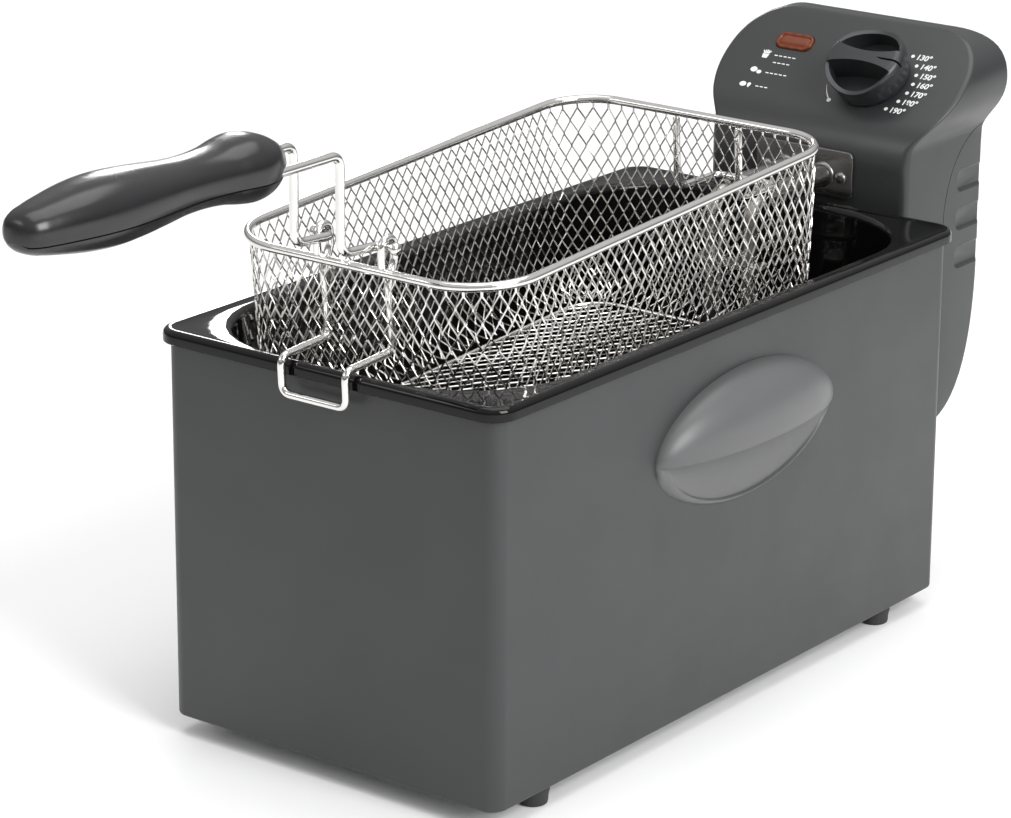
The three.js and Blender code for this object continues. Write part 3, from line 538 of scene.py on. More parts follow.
def housing():
    """A folded sheet box: hemmed at its foot, turned in at its top to the tank's mouth."""
    low, high, fold = HOUSE_LOW.z, HOUSE_HIGH.z, 1.4 * MM
    levels = [(7 * MM, low + SHEET), (7 * MM, low)]
    levels += [(fold * (1 - s), low + fold * c) for s, c in quarter()]
    levels += [(fold * c, high - fold * (1 - s)) for s, c in quarter()]
    rings = [house_ring(*level) for level in levels]
    rings += [mouth_ring(2.3 * MM, high), mouth_ring(2.3 * MM, high - SHEET)]
    rings += [house_ring(SHEET + 0.4 * MM, high - SHEET), house_ring(SHEET, high - 2 * SHEET)]
    rings += [house_ring(SHEET, low + 2 * SHEET)]
    place(new_object("housing_body", *skin(rings, loop=True), PAINT, 30), "housing", "paint", "housing_shell")


CARRY = {"border": 1.8 * MM, "rim": 2.2 * MM, "wall": 2.0 * MM, "floor": 0.7 * MM, "lip": 0.8 * MM}
CARRY_POINT, RECESS_POINT, RECESS_BACK = 0.56, 0.6, 0.035  # how round the two ovals are, and a shift back


def carry_section(t, length, height, bulge):
    """The handle's outline of (out, up) points at t, from -1 at its front end to 1 at its rear end."""
    border, floor = CARRY["border"], CARRY["floor"]
    full = (1 - t * t) ** CARRY_POINT
    inner_end = 1 - border / length - RECESS_BACK
    opened = max(1 - ((t - RECESS_BACK) / inner_end) ** 2, 0) ** RECESS_POINT
    b, h = bulge * full, height * full
    crest = min(CARRY["rim"], 0.8 * b)
    deep = floor * opened + crest * (1 - opened)
    roof, sill = (height - CARRY["wall"] - 1.2 * MM) * opened, (height - border) * opened
    fold = 0.22 * h
    edge = [(b * math.cos(a), fold + (h - fold) * math.sin(a)) for a in np.linspace(math.pi / 2, -0.28, 25)]
    lip_x, lip_z = edge[-1]
    thin = min(CARRY["lip"], 0.4 * b)
    edge += [(lip_x - thin * (1 - math.cos(a)), lip_z - thin * math.sin(a))
             for a in np.linspace(0.4, math.pi, 6)]
    front = min(deep + max(bulge - CARRY["wall"] - deep, 0) * opened, lip_x - 2 * thin)
    low_roof = lip_z + 0.1 * opened * MM
    edge += [(deep + (front - deep) * math.cos(a), low_roof + (roof - low_roof) * math.sin(a))
             for a in np.linspace(0.1, math.pi / 2, 9)]
    edge += [(deep, roof * s) for s in (0.66, 0.33)] + [(deep, -sill * s) for s in (0, 0.3, 0.6, 0.9, 1)]
    width = max(h - sill, 1e-5)
    edge += [(deep + (crest - deep) * s, -sill - width * d) for s, d in ((0.5, 0.1), (0.9, 0.24), (1, 0.38))]
    return edge + [(crest * s, -sill - width * d) for s, d in ((0.92, 0.6), (0.6, 0.85), (0, 1))]


def carry_handle(side, node):
    """An oval dome with a finger space under it, over a shallow rimmed recess."""
    low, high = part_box(node)
    middle, foot = (low + high) / 2, min(abs(low.x), abs(high.x)) - 0.2 * MM
    length, height, bulge = (high.y - low.y) / 2, (high.z - low.z) / 2, abs(high.x - low.x) + 0.2 * MM
    rings = []
    for k in range(61):
        t = -math.cos(math.pi * k / 60) * 0.9995
        section = carry_section(t, length, height, bulge)
        rings.append([Vector((side * (foot + x), middle.y + t * length, middle.z + z)) for x, z in section])
    place(new_object(f"{node}_moulding", *skin(rings), HANDLE_SHELL, 50), "housing", "shell", node)


def foot_pieces():
    """Round rubber feet with a waist and a screw well."""
    for end in ("front", "rear"):
        for side in ("left", "right"):
            low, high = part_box(f"foot_{end}_{side}")
            top, deep = (high.x - low.x) / 2 / MM, (high.z - low.z) / MM
            profile = [
                (3.7, 3), (3.7, 0.3), (4, 0), (top - 1.6, 0), (top - 0.9, 0.5), (top - 0.7, 1.4),
                (top - 0.55, 0.45 * deep), (top - 0.25, 0.62 * deep), (top, 0.68 * deep), (top, deep - 0.4),
                (top - 0.5, deep), (2.4, deep), (2.4, 3),
            ]
            centre = Vector(((low.x + high.x) / 2, (low.y + high.y) / 2, low.z))
            made = turned_tube(f"foot_pad_{end}_{side}", profile, centre, Z, RUBBER)
            place(made, "housing", "rubber", f"foot_{end}_{side}")


# ---------- tank ----------
def flange_ring(inset, z):
    """A ring of the tank's flange, drawn in from its outer edge."""
    corner = 12 * MM - inset
    return rounded_ring(TANK_HIGH.x - inset, TANK_LOW.y + inset, TANK_HIGH.y - inset, corner, corner, z)


def oil_tank():
    """Pressed enamelled pot: rolled flange with a raised bead, rounded mouth, tapering wall, dished floor."""
    top, floor = TANK_HIGH.z, TANK_LOW.z
    roll, lip, sheet = 2.8 * MM, 6 * MM, 1.6 * MM
    mouth_round, floor_round, draft = 3.4 * MM, 15 * MM, 7 * MM
    deck = top - 0.8 * MM
    rings = [flange_ring(sheet, top - lip + 0.4 * MM), flange_ring(0.8 * sheet, top - lip)]
    rings += [flange_ring(0.3 * sheet, top - lip), flange_ring(0, top - lip + 0.4 * MM)]
    rings += [flange_ring(roll * c, top - roll * (1 - s)) for s, c in quarter()]
    rings += [flange_ring(4.2 * MM, top - 0.1 * MM), flange_ring(5 * MM, top - 0.5 * MM)]
    rings += [mouth_ring(mouth_round * 1.1, deck)]
    rings += [mouth_ring(mouth_round * (1 - s), deck - mouth_round * c) for s, c in quarter(8)]

    def drawn_in(z):
        return -draft * (top - z) / (top - floor)

    for k in range(1, 6):
        z = deck - mouth_round - (deck - mouth_round - floor - sheet - floor_round) * k / 5
        rings.append(mouth_ring(drawn_in(z), z))
    base = drawn_in(floor)
    for s, c in quarter(10)[1:]:
        rings.append(mouth_ring(base - floor_round * c, floor + sheet + floor_round * (1 - s)))
    rings.append(mouth_ring(base - 2.5 * floor_round, floor + sheet - 0.2 * MM))
    inner_count = len(rings)
    rings.append(mouth_ring(base - 2.5 * floor_round, floor))
    for s, c in quarter(10)[::-1]:
        rings.append(mouth_ring(base + sheet - floor_round * c, floor + floor_round * (1 - s)))
    rings += [mouth_ring(sheet + drawn_in(deck), deck - 2 * mouth_round)]
    rings += [mouth_ring(sheet, deck - mouth_round)]
    rings += [mouth_ring(2 * sheet, deck - 1.4 * sheet), mouth_ring(3 * sheet, deck - sheet)]
    rings += [flange_ring(4 * MM, deck - sheet), flange_ring(2 * sheet, top - 1.8 * sheet)]
    rings += [flange_ring(sheet, top - 2.4 * sheet)]
    vertices, faces = skin(rings, loop=True)
    size = len(rings[0])
    inside, outside = (inner_count - 1) * size, inner_count * size
    del faces[inside:outside]  # the band between the floor's two faces, which are closed off instead
    faces += [tuple(range(inside, outside)), tuple(range(outside, outside + size))[::-1]]
    place(new_object("tank_pressing", vertices, faces, ENAMEL, 40), "tank", "enamel", "oil_tank")


# ---------- control head ----------
HEAD_LOW, HEAD_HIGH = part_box("head_front_cover")
KNOB_AT = Vector(joints["knob_turn"]["pos_m"])
PANEL_OUT = Vector(joints["knob_turn"]["axis"]).normalized()
PANEL_UP = PANEL_OUT.cross(X)
KNOB_RISE = 34 * MM  # from the panel's foot to the knob's centre, up the slope
COLUMN_HALF = 54.5 * MM
HOOD_HALF = HEAD_HIGH.x


def on_panel(x, rise, out=0.0):
    """A point x across from the head's middle, rise up the panel's slope and out of its face."""
    base = Vector((0, KNOB_AT.y, KNOB_AT.z))
    return base + X * x + PANEL_UP * (rise - KNOB_RISE) + PANEL_OUT * out


def curve_points(controls, steps=60):
    """Points along a quadratic or cubic Bezier curve of plane points."""
    points = []
    order = len(controls) - 1
    for k in range(steps + 1):
        t = k / steps
        weights = [math.comb(order, i) * (1 - t) ** (order - i) * t**i for i in range(order + 1)]
        points.append([sum(w * c[i] for w, c in zip(weights, controls)) for i in (0, 1)])
    return points


def head_curves():
    """The head's half-width, front and back against height, each as two arrays for interpolation."""
    top, bottom, front, back = HEAD_HIGH.z, HEAD_LOW.z, HEAD_LOW.y, HEAD_HIGH.y
    foot = on_panel(0, 0)
    slope = PANEL_UP.y / PANEL_UP.z
    fold = on_panel(0, 14 * MM)
    edge = foot.y + (top - foot.z) * slope
    soft = 1.5 * MM
    front_line = [(front, bottom), (front, foot.z - 14 * MM)]
    front_line += curve_points([(front, foot.z - 14 * MM), (front, foot.z), (fold.y, fold.z)])
    front_line += curve_points([(edge - soft * slope, top - soft), (edge, top), (edge + 2 * soft, top)])
    back_line = curve_points([(back - 44 * MM, bottom), (back - 9 * MM, bottom), (back, bottom + 36 * MM),
                              (back, bottom + 78 * MM)])
    back_line += curve_points([(back, top - 12 * MM), (back, top), (back - 11 * MM, top)])
    narrow = COLUMN_HALF
    sides = [(narrow, bottom), (narrow, foot.z - 4 * MM)]
    sides += curve_points([(narrow, foot.z - 3 * MM), (narrow + 3 * MM, foot.z + 5 * MM),
                           (HOOD_HALF, foot.z + 10 * MM), (HOOD_HALF, foot.z + 22 * MM)])
    sides += curve_points([(HOOD_HALF, foot.z + 22 * MM), (HOOD_HALF, foot.z + 36 * MM),
                           (HOOD_HALF - 11 * MM, top), (34.5 * MM, top)])
    return [np.array(line, float).T for line in (sides, front_line, back_line)]


def head_form(name, inset):
    """The head's outer form, or with an inset the room inside it."""
    top, bottom = HEAD_HIGH.z - inset, HEAD_LOW.z + inset
    sides, front_line, back_line = head_curves()
    near = [0, 0.03, 0.1, 0.25, 0.5, 0.9, 1.5, 2.3, 3.3, 4.5, 6, 8, 10.5]
    levels = [bottom + n * MM for n in near] + [top - n * MM for n in near[::-1]]
    levels += list(np.linspace(bottom + 14 * MM, bottom + 100 * MM, 16))
    levels += list(np.linspace(bottom + 106 * MM, top - 13 * MM, 34))
    rings = []
    for z in sorted(levels):
        at = min(max(z, HEAD_LOW.z), HEAD_HIGH.z)
        half = np.interp(at, sides[1], sides[0]) - 1.2 * inset
        front = np.interp(at, front_line[1], front_line[0]) + (1.6 if inset else 0) * inset
        back = np.interp(at, back_line[1], back_line[0]) - inset
        deep = max(back - front, 1.5 * MM)
        panel_share = np.interp(at, (on_panel(0, 0).z - 12 * MM, on_panel(0, 14 * MM).z), (0, 1))
        corner_front = min((4 - 1.8 * panel_share) * MM, 0.45 * deep)
        corner_back = min((3.5 - 1.5 * panel_share) * MM, 0.45 * deep)
        rings.append(rounded_ring(half, front, front + deep, corner_front, corner_back, z))
    return new_object(name, *skin(rings), None, 35)


def seam_prism(name, gap):
    """Everything behind and below the seam between the head's two covers."""
    back, seam_y, seam_top = HEAD_HIGH.y, HEAD_HIGH.y - 34 * MM, HEAD_HIGH.z - 44 * MM
    far = back + 20 * MM
    outline = [(seam_y + gap, 0), (far, 0), (far, seam_top - gap), (back, seam_top - gap)]
    outline += curve_points([(back, seam_top - gap), (seam_y + gap + 4 * MM, seam_top - gap - 8 * MM),
                             (seam_y + gap, seam_top - gap - 40 * MM)], 24)[1:]
    return side_prism(name, outline, 0.1)


def rod(name, start, end, radius, sides=32):
    """A plain rod between two points, used as a cutter."""
    return new_object(name, *skin(sweep_rings([start, end], radius, sides)), None)


DENT = {"count": 3, "top": 116, "pitch": 18.7, "reach": 22.5, "half": 5.4, "corner": 4, "deep": 1.5}


def dent(side, z):
    """The cutter of one finger dent in the rear cover's side: a round-cornered scoop, open to the back."""
    reach, half, corner, deep = (DENT[part] * MM for part in ("reach", "half", "corner", "deep"))
    rings = []
    for inset, out in in_metres([(1.4, 0.0), (0.5, 0.35), (0.0, 1.0), (-0.3, 1.6), (-0.3, 6.0)]):
        flat = rounded_ring(reach - inset, z - half + inset, z + half - inset, corner, corner, 0)
        rings.append([Vector((side * (COLUMN_HALF - deep + out), HEAD_HIGH.y + p.x, p.y)) for p in flat])
    return new_object("dent", *skin(rings), None)


def lamp_ring(grown, corner, out, steps):
    """The lamp's outline, grown or (when negative) drawn in, at a distance out of the panel's face."""
    half_x, half_s = LAMP["half_x"] + grown, LAMP["half_s"] + grown
    flat = rounded_ring(half_x, LAMP["rise"] - half_s, LAMP["rise"] + half_s, corner, corner, 0, steps)
    return [on_panel(LAMP["x"] + p.x, p.y, out) for p in flat]


def lamp_hole():
    """The cutter of the lamp's hole in the panel."""
    rings = [lamp_ring(0.3 * MM, LAMP["corner"], out, 6) for out in (-9 * MM, 6 * MM)]
    return new_object("lamp_hole", *skin(rings), None)


LAMP = {"x": -31.8 * MM, "rise": 46.8 * MM, "half_x": 9.8 * MM, "half_s": 4.6 * MM, "corner": 3.9 * MM}
SLEEVE_X = 10.5 * MM
HEAD_WALL, SEAM_GAP = 2.5 * MM, 0.35 * MM


def front_openings():
    """Cutters of the front cover's openings: the lamp, the knob's shaft, the sleeves and the cord gland."""
    plate_low, plate_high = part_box("element_plate")
    plate_z = (plate_low.z + plate_high.z) / 2 - 1.6 * MM
    cutters = [lamp_hole()]
    cutters.append(rod("shaft_hole", KNOB_AT - PANEL_OUT * 8 * MM, KNOB_AT + PANEL_OUT * 4 * MM, 4 * MM))
    for side in (-1, 1):
        start = Vector((side * SLEEVE_X, HEAD_LOW.y - 4 * MM, plate_z))
        cutters.append(rod("sleeve_hole", start, start + Y * 12 * MM, 5.3 * MM))
    gland_low, gland_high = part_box("cord_gland")
    start = (gland_low + gland_high) / 2
    cutters.append(rod("gland_hole", start - Z * 9 * MM, start + Z * 9 * MM, 6.3 * MM))
    return cutters


def rear_openings():
    """Cutters of the rear cover's finger dents, screw wells and reset hole."""
    cutters = []
    for side, name in ((-1, "left"), (1, "right")):
        for k in range(DENT["count"]):
            cutters.append(dent(side, HEAD_LOW.z + (DENT["top"] - DENT["pitch"] * k) * MM))
        low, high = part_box(f"cover_screw_{name}")
        start = Vector(((low.x + high.x) / 2, HEAD_HIGH.y - 1.8 * MM, (low.z + high.z) / 2))
        cutters.append(rod("screw_well", start, start + Y * 6 * MM, 3.9 * MM))
    low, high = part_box("reset_button")
    start = Vector((0, HEAD_HIGH.y - 6 * MM, (low.z + high.z) / 2))
    cutters.append(rod("reset_hole", start, start + Y * 12 * MM, 3.8 * MM))
    return cutters


def head_covers():
    """The two mouldings of the control head, as thin shells with a seam between them."""
    for end, operation, gap, openings in (
        ("front", "DIFFERENCE", 0.0, front_openings),
        ("rear", "INTERSECT", SEAM_GAP, rear_openings),
    ):
        cover = carve(head_form(f"head_{end}_moulding", 0), seam_prism("seam", gap), operation)
        carve(cover, head_form("room", HEAD_WALL))
        for cutter in openings():
            carve(cover, cutter)
        refinish(cover, SHELL, 32)
        soften(cover, 0.35 * MM, 2, 50)
        place(cover, "head", "shell", f"head_{end}_cover")


# ---------- panel print ----------
def printed(outline):
    """A thin printed shape on the panel: an outline of (x, rise) points in millimetres."""
    rings = [[on_panel(x * MM, s * MM, out) for x, s in outline] for out in (-0.1 * MM, 0.08 * MM)]
    return new_object("shape", *skin(rings), None)


def disc(x, rise, radius, stretch=1.0):
    """A printed round or oval, in millimetres."""
    turns = [2 * math.pi * k / 24 for k in range(24)]
    return printed([(x + radius * stretch * math.cos(t), rise + radius * math.sin(t)) for t in turns])


def bar(x0, s0, x1, s1):
    """A printed line between two points, in millimetres."""
    along = Vector((x1 - x0, s1 - s0)).normalized()
    nx, ns = -along.y * LINE_WIDTH / 2, along.x * LINE_WIDTH / 2
    return printed([(x0 + nx, s0 + ns), (x0 - nx, s0 - ns), (x1 - nx, s1 - ns), (x1 + nx, s1 + ns)])


def dial_number(words, x, rise, size):
    """One printed dial number, a little slanted, with its left end at (x, rise) millimetres."""
    data = bpy.data.curves.new("number", "FONT")
    data.body = words
    data.size = size * MM
    data.shear = 0.12
    data.extrude = 0.09 * MM
    data.offset = 0.0001
    data.align_y = "CENTER"
    text = linked("number", data)
    graph = bpy.context.evaluated_depsgraph_get()
    mesh = bpy.data.meshes.new_from_object(text.evaluated_get(graph))
    bpy.data.objects.remove(text)
    turn = Matrix((X, PANEL_UP, PANEL_OUT)).transposed().to_4x4()
    turn.translation = on_panel(x * MM, rise * MM)
    mesh.transform(turn)
    return linked("number", mesh)


LINE_WIDTH = 0.55
DIAL = {"reach": 20.9, "drop": 0.4, "dot": 0.95, "number": 4.3}
DIAL_ANGLES = (51.2, 32.6, 16.8, 2.2, -12.7, -28.3, -46.8)


def dial_print():
    """White dial numbers with their dots, and an arc with a dot at its end for the way to turn."""
    knob_x, rise = KNOB_AT.x / MM, KNOB_RISE / MM
    shapes = []
    for number, angle in zip(range(130, 200, 10), DIAL_ANGLES):
        turn = math.radians(angle)
        x, s = knob_x + DIAL["reach"] * math.cos(turn), rise - DIAL["drop"] + DIAL["reach"] * math.sin(turn)
        shapes += [disc(x, s, DIAL["dot"]), dial_number(f"{number}°", x + 1.9, s - 0.2, DIAL["number"])]

    def round_knob(reach, degrees):
        turn = math.radians(degrees)
        return knob_x + reach * math.cos(turn), rise + reach * math.sin(turn)

    steps = np.linspace(199, 222, 12)
    outer = [round_knob(23.6, degrees) for degrees in steps]
    inner = [round_knob(23.5 - 0.5 * k / 11, degrees) for k, degrees in enumerate(steps)]
    return shapes + [printed(outer + inner[::-1]), disc(*round_knob(23.4, 224), 1.1)]


def cooking_signs():
    """Plain signs down the panel's left: a tub of chips, two nuggets, and a round with a drop of oil."""
    x, s = -43.5, 37
    shapes = [printed([(x + a, s + b) for a, b in ((-1.3, -2), (1.3, -2), (1.8, 0.4), (-1.8, 0.4))])]
    for k in range(-2, 3):
        lean = k * 0.55
        shapes.append(bar(x + lean, s + 0.7, x + 1.9 * lean, s + 2.9 - 0.25 * abs(k)))
    shapes += [disc(-45.2, 27.6, 1.5, 1.25), disc(-41.9, 26.6, 1.1, 1.2), disc(-46.6, 18.4, 1.4, 1.3)]
    turns = np.linspace(0, 2 * math.pi, 20)[:-1]
    drop = [(-43.2 + 1.2 * math.sin(t) * math.sin(t / 2), 18.2 - 1.5 * math.cos(t)) for t in turns]
    shapes.append(printed(drop))
    for x, s, count in ((-38.6, 37.4, 5), (-37.4, 33.2, 4), (-38.2, 26.8, 5), (-39.4, 18.3, 3)):
        shapes += [bar(left, s, left + 1.7, s) for left in (x + 2.5 * k for k in range(count))]
    return shapes


def panel_print():
    """Everything printed in white on the panel, as one piece."""
    place(joined("dial_print", dial_print() + cooking_signs(), PRINT), "head", "shell")


def lamp_lens():
    """The lamp's lens: a rounded rim round a darker ribbed window."""
    levels = in_metres([
        (0, -3.2), (0, 0.5), (0.15, 0.9), (0.45, 1.15), (0.8, 1.2), (1.3, 1.1), (1.5, 0.75), (1.7, 0.6),
        (2.6, 0.85), (3.6, 0.95),
    ])
    rings = [lamp_ring(-inset, max(LAMP["corner"] - inset, 0.4 * MM), out, 8) for inset, out in levels]
    made = new_object("lamp_window", *skin(rings), AMBER_RIM, 40)
    made.data.materials.append(AMBER)
    rim, above = 1.55 * MM, 0.3 * MM
    for face in made.data.polygons:
        centre = face.center - on_panel(LAMP["x"], LAMP["rise"])
        across, rise = abs(centre.dot(X)), abs(centre.dot(PANEL_UP))
        inside = across < LAMP["half_x"] - rim and rise < LAMP["half_s"] - rim
        if inside and centre.dot(PANEL_OUT) > above:
            face.material_index = 1
    place(made, "head", "amber", "lamp_lens")


# ---------- knob ----------
KNOB = {
    "foot": 17.5, "radius": 19.3, "rim": 11.7, "top": 17.2, "round": 3.4,
    "bowl": 17.2, "floor": 4, "waist": 3, "end": 9, "reach": 24, "slit": 1.1,
}


def knob_point(x, s, out):
    """A point in millimetres from the knob's foot: across, up the panel's slope, and out of its face."""
    return KNOB_AT + X * (x * MM) + PANEL_UP * (s * MM) + PANEL_OUT * (out * MM)


def knob_block(outline, low, high):
    """A block over an outline of (x, s) millimetres, between two heights over the panel."""
    rings = [[knob_point(x, s, out) for x, s in outline] for out in (low, high)]
    return new_object("block", *skin(rings), None)


def beside_bar(side):
    """The outline of everything on one side of the knob's waisted bar."""
    waist, end, reach = KNOB["waist"], KNOB["end"], KNOB["reach"]
    bar = [(x, side * (waist + (end - waist) * (x / reach) ** 2)) for x in np.linspace(-reach, reach, 33)]
    return bar + [(reach, side * reach), (-reach, side * reach)]


def across_knob(outline, half):
    """A prism through the knob along the bar's side axis, over an outline of (x, height) millimetres."""
    rings = [[knob_point(x, s, out) for x, out in outline] for s in (-half, half)]
    return new_object("prism", *skin(rings), None)


def above_rim():
    """Everything over the knob's saddle-shaped rim."""
    radius, rim, top = KNOB["radius"], KNOB["rim"], KNOB["top"]
    curve = [(x, rim + (top - rim) * (x / radius) ** 2) for x in np.linspace(-26, 26, 49)]
    return across_knob(curve + [(26, 40), (-26, 40)], 25)


def knob():
    """A round knob with a waisted bar between two deep hollows, and a pointer slit at the bar's end."""
    foot, radius, rim, top, fillet = (KNOB[part] for part in ("foot", "radius", "rim", "top", "round"))
    profile = [(0, 0.7), (foot - 0.4, 0.7), (foot, 1.1), (foot + 0.3, 3), (radius - 0.4, rim - 3.5)]
    profile += [(radius, rim - 1.5), (radius, top - fillet)]
    turns = np.linspace(0.1, 1.57, 9)
    profile += [(radius - fillet + fillet * math.cos(a), top - fillet + fillet * math.sin(a)) for a in turns]
    profile += [(0, top)]
    made = turned("knob_moulding", profile, KNOB_AT, PANEL_OUT, KNOB_BLACK, 96)
    for side in (-1, 1):
        carve(made, carve(knob_block(beside_bar(side), 0, 40), above_rim(), "INTERSECT"))
        bowl = rod("bowl", knob_point(0, 0, KNOB["floor"]), knob_point(0, 0, 40), KNOB["bowl"] * MM, 96)
        carve(made, carve(bowl, knob_block(beside_bar(side), -5, 45), "INTERSECT"))
    slit = [(7.5, top + 1), (21, top + 1), (21, rim - 0.5), (13, top - 2.4), (7.5, top - 0.3)]
    carve(made, across_knob(slit, KNOB["slit"] / 2))
    refinish(made, KNOB_BLACK, 38)
    soften(made, 0.7 * MM, 3, 38)
    place(made, "knob", "shell", "thermostat_knob")


# ---------- element, plate and sensor ----------
PLATE_LOW, PLATE_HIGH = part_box("element_plate")
SLEEVE_LOW, SLEEVE_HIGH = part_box("element_sleeve_right")
ELEMENT_LOW, ELEMENT_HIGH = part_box("heating_element")
SENSOR_LOW, SENSOR_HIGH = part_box("sensor_tube")


def element_plate():
    """The brushed steel plate on the head's front, with its collars and screws."""
    plate = slab("steel_plate", PLATE_LOW, PLATE_HIGH, 3 * MM, STEEL, axis=1)
    soften(plate, 0.3 * MM)
    place(plate, "head", "steel", "element_plate")
    leg_z = (SLEEVE_LOW.z + SLEEVE_HIGH.z) / 2
    profile = [(4.9, 0.1), (6.4, 0.1), (6.4, -0.4), (6.1, -0.9), (5.6, -1.2), (5.0, -1.3), (4.9, -1.0)]
    for side, name in ((-1, "left"), (1, "right")):
        foot = Vector((side * SLEEVE_X, PLATE_LOW.y, leg_z))
        place(turned_tube(f"plate_collar_{name}", profile, foot, Y, STEEL), "head", "steel")
        sleeve(side, name, leg_z)
        plate_screw(name)


def sleeve(side, name, z):
    """A steel tube with a rolled open end round the element's leg."""
    outer, inner, length = 4.8, 3.6, (SLEEVE_HIGH.y - SLEEVE_LOW.y) / MM
    profile = [(inner, 0.5), (inner + 0.2, 0.1), (outer - 0.5, 0), (outer - 0.1, 0.25), (outer, 0.7)]
    profile += [(outer, length), (inner, length)]
    foot = Vector((side * SLEEVE_X, SLEEVE_LOW.y, z))
    made = turned_tube(f"sleeve_tube_{name}", profile, foot, Y, STEEL)
    place(made, "head", "steel", f"element_sleeve_{name}")


def plate_screw(name):
    """A pan-head screw with a cross recess."""
    low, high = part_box(f"plate_screw_{name}")
    foot = Vector(((low.x + high.x) / 2, PLATE_LOW.y, (low.z + high.z) / 2))
    profile = [(0, 4), (1.4, 4), (1.4, 0), (2.9, 0), (2.9, -0.5), (2.7, -1.0), (2.2, -1.4), (1.4, -1.65)]
    profile += [(0, -1.7)]
    made = turned(f"screw_{name}", profile, foot, Y, STEEL, 32)
    for half_x, half_z in ((1.7, 0.3), (0.3, 1.7)):
        low_corner = foot + mm(-half_x, -3, -half_z)
        high_corner = foot + mm(half_x, -0.7, half_z)
        carve(made, slab("cross", low_corner, high_corner, 0.1 * MM, None))
    refinish(made, STEEL)
    place(made, "head", "steel", f"plate_screw_{name}")


ELEMENT_RADIUS, RISER_Y = 3.3 * MM, 168 * MM


def heating_element():
    """The sheathed element: out of its sleeves, down the tank and in four legs over the floor."""
    radius = ELEMENT_RADIUS
    low, leg_z = ELEMENT_LOW.z + radius, (SLEEVE_LOW.z + SLEEVE_HIGH.z) / 2
    cross_y, outer_x, inner_x = 144 * MM, ELEMENT_HIGH.x - radius, 20 * MM
    front_y, inner_y = ELEMENT_LOW.y + radius, 120 * MM
    half = [
        (SLEEVE_X, ELEMENT_HIGH.y, leg_z), (SLEEVE_X, RISER_Y, leg_z), (SLEEVE_X, RISER_Y, low),
        (SLEEVE_X, cross_y, low), (outer_x, cross_y, low), (outer_x, front_y, low), (inner_x, front_y, low),
        (inner_x, inner_y, low),
    ]
    path = [Vector(p) for p in half] + [Vector((-x, y, z)) for x, y, z in half[::-1]]
    made = wire("element_sheath", bend(path, 11 * MM, 12), radius, ELEMENT_STEEL, 24)
    place(made, "head", "steel", "heating_element")


def element_strips():
    """The clamp round the element's risers, and the bar that ties its legs."""
    for node in ("riser_clamp", "element_bar"):
        low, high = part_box(node)
        made = slab(f"{node}_strip", low, high, 2.2 * MM, STEEL)
        for side in (-1, 1) if node == "riser_clamp" else ():
            start = Vector((side * SLEEVE_X, RISER_Y, low.z - 2 * MM))
            carve(made, rod("hole", start, start + Z * 9 * MM, ELEMENT_RADIUS + 0.3 * MM))
        refinish(made, STEEL)
        soften(made, 0.3 * MM)
        place(made, "head", "steel", node)


def sensor_tube():
    """The thermostat's capillary, and its bulb between the element's legs."""
    thin, bulb = 1.2, SENSOR_HIGH.x / MM
    z, y, low, rear, tip = 184, 160, SENSOR_LOW.z / MM + bulb, 108, SENSOR_LOW.y / MM
    path = bend([mm(0, SENSOR_HIGH.y / MM, z), mm(0, y, z), mm(0, y, low), mm(0, rear, low)], 8 * MM, 10)
    radii = [thin * MM] * len(path)
    for k in range(9):
        path.append(mm(0, rear - 0.6 * (k + 1), low))
        radii.append((thin + (bulb - thin) * math.sin(math.pi / 2 * (k + 1) / 9)) * MM)
    path += [mm(0, rear - 20, low), mm(0, tip + 6, low), mm(0, tip + 3, low)]
    radii += [bulb * MM] * 3
    for k in range(1, 8):
        turn = math.pi / 2 * k / 8
        path.append(mm(0, tip + 3 - bulb * math.sin(turn), low))
        radii.append(bulb * math.cos(turn) * MM)
    made = new_object("sensor_bulb", *skin(sweep_rings(path, radii, 20)), ELEMENT_STEEL, 40)
    place(made, "head", "steel", "sensor_tube")


# ---------- small pieces ----------
def cord_gland():
    """A ribbed rubber gland in the head's tail."""
    low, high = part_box("cord_gland")
    foot = Vector(((low.x + high.x) / 2, (low.y + high.y) / 2, low.z))
    profile = [(3.4, 0.4), (3.9, 0), (4.9, 0)]
    for k in range(3):
        base, out = 0.3 + 1.1 * k, 5.3 + 0.8 * k
        profile += [(out, base), (out, base + 0.6), (out - 0.5, base + 0.8), (out - 0.5, base + 1.0)]
    profile += [(7.8, 3.9), (8.0, 4.4), (8.0, 5.2), (7.6, 5.7), (5.9, 5.7), (5.9, 11), (3.4, 11)]
    place(turned_tube("gland_bush", profile, foot, Z, RUBBER), "head", "rubber", "cord_gland")


def reset_button():
    """A red push button with a dished end."""
    low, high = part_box("reset_button")
    foot = Vector((0, low.y, (low.z + high.z) / 2))
    length = (high.y - low.y) / MM
    profile = [(0, 0), (3.0, 0), (3.3, 0.4), (3.3, length - 1), (3.0, length - 0.4), (2.4, length - 0.15)]
    profile += [(1.6, length - 0.35), (0, length - 0.5)]
    place(turned("reset_cap", profile, foot, Y, RED, 36), "reset", "red", "reset_button")


def kept_nodes():
    """The model's own solids that stay as they are get their finish and softened edges."""
    finishes = {
        "base_plate": ZINC, "rear_guide": ZINC, "guide_tongue": ZINC, "thermostat_body": PHENOLIC,
        "terminal_block": NYLON, "thermal_cutout": PHENOLIC, "interlock_switch": PHENOLIC, "neon_lamp": AMBER,
        "thermostat_shaft": STEEL, "cover_screw_left": ZINC, "cover_screw_right": ZINC,
    }
    for end in ("front", "rear"):
        for side in ("left", "right"):
            finishes[f"foot_screw_{end}_{side}"] = ZINC
    for name, finish in finishes.items():
        node = frame["nodes"][name]
        if not node.material_slots:
            node.data.materials.append(finish)
        for slot in node.material_slots:
            slot.material = finish
        soften(node, 0.2 * MM, 2, 40)


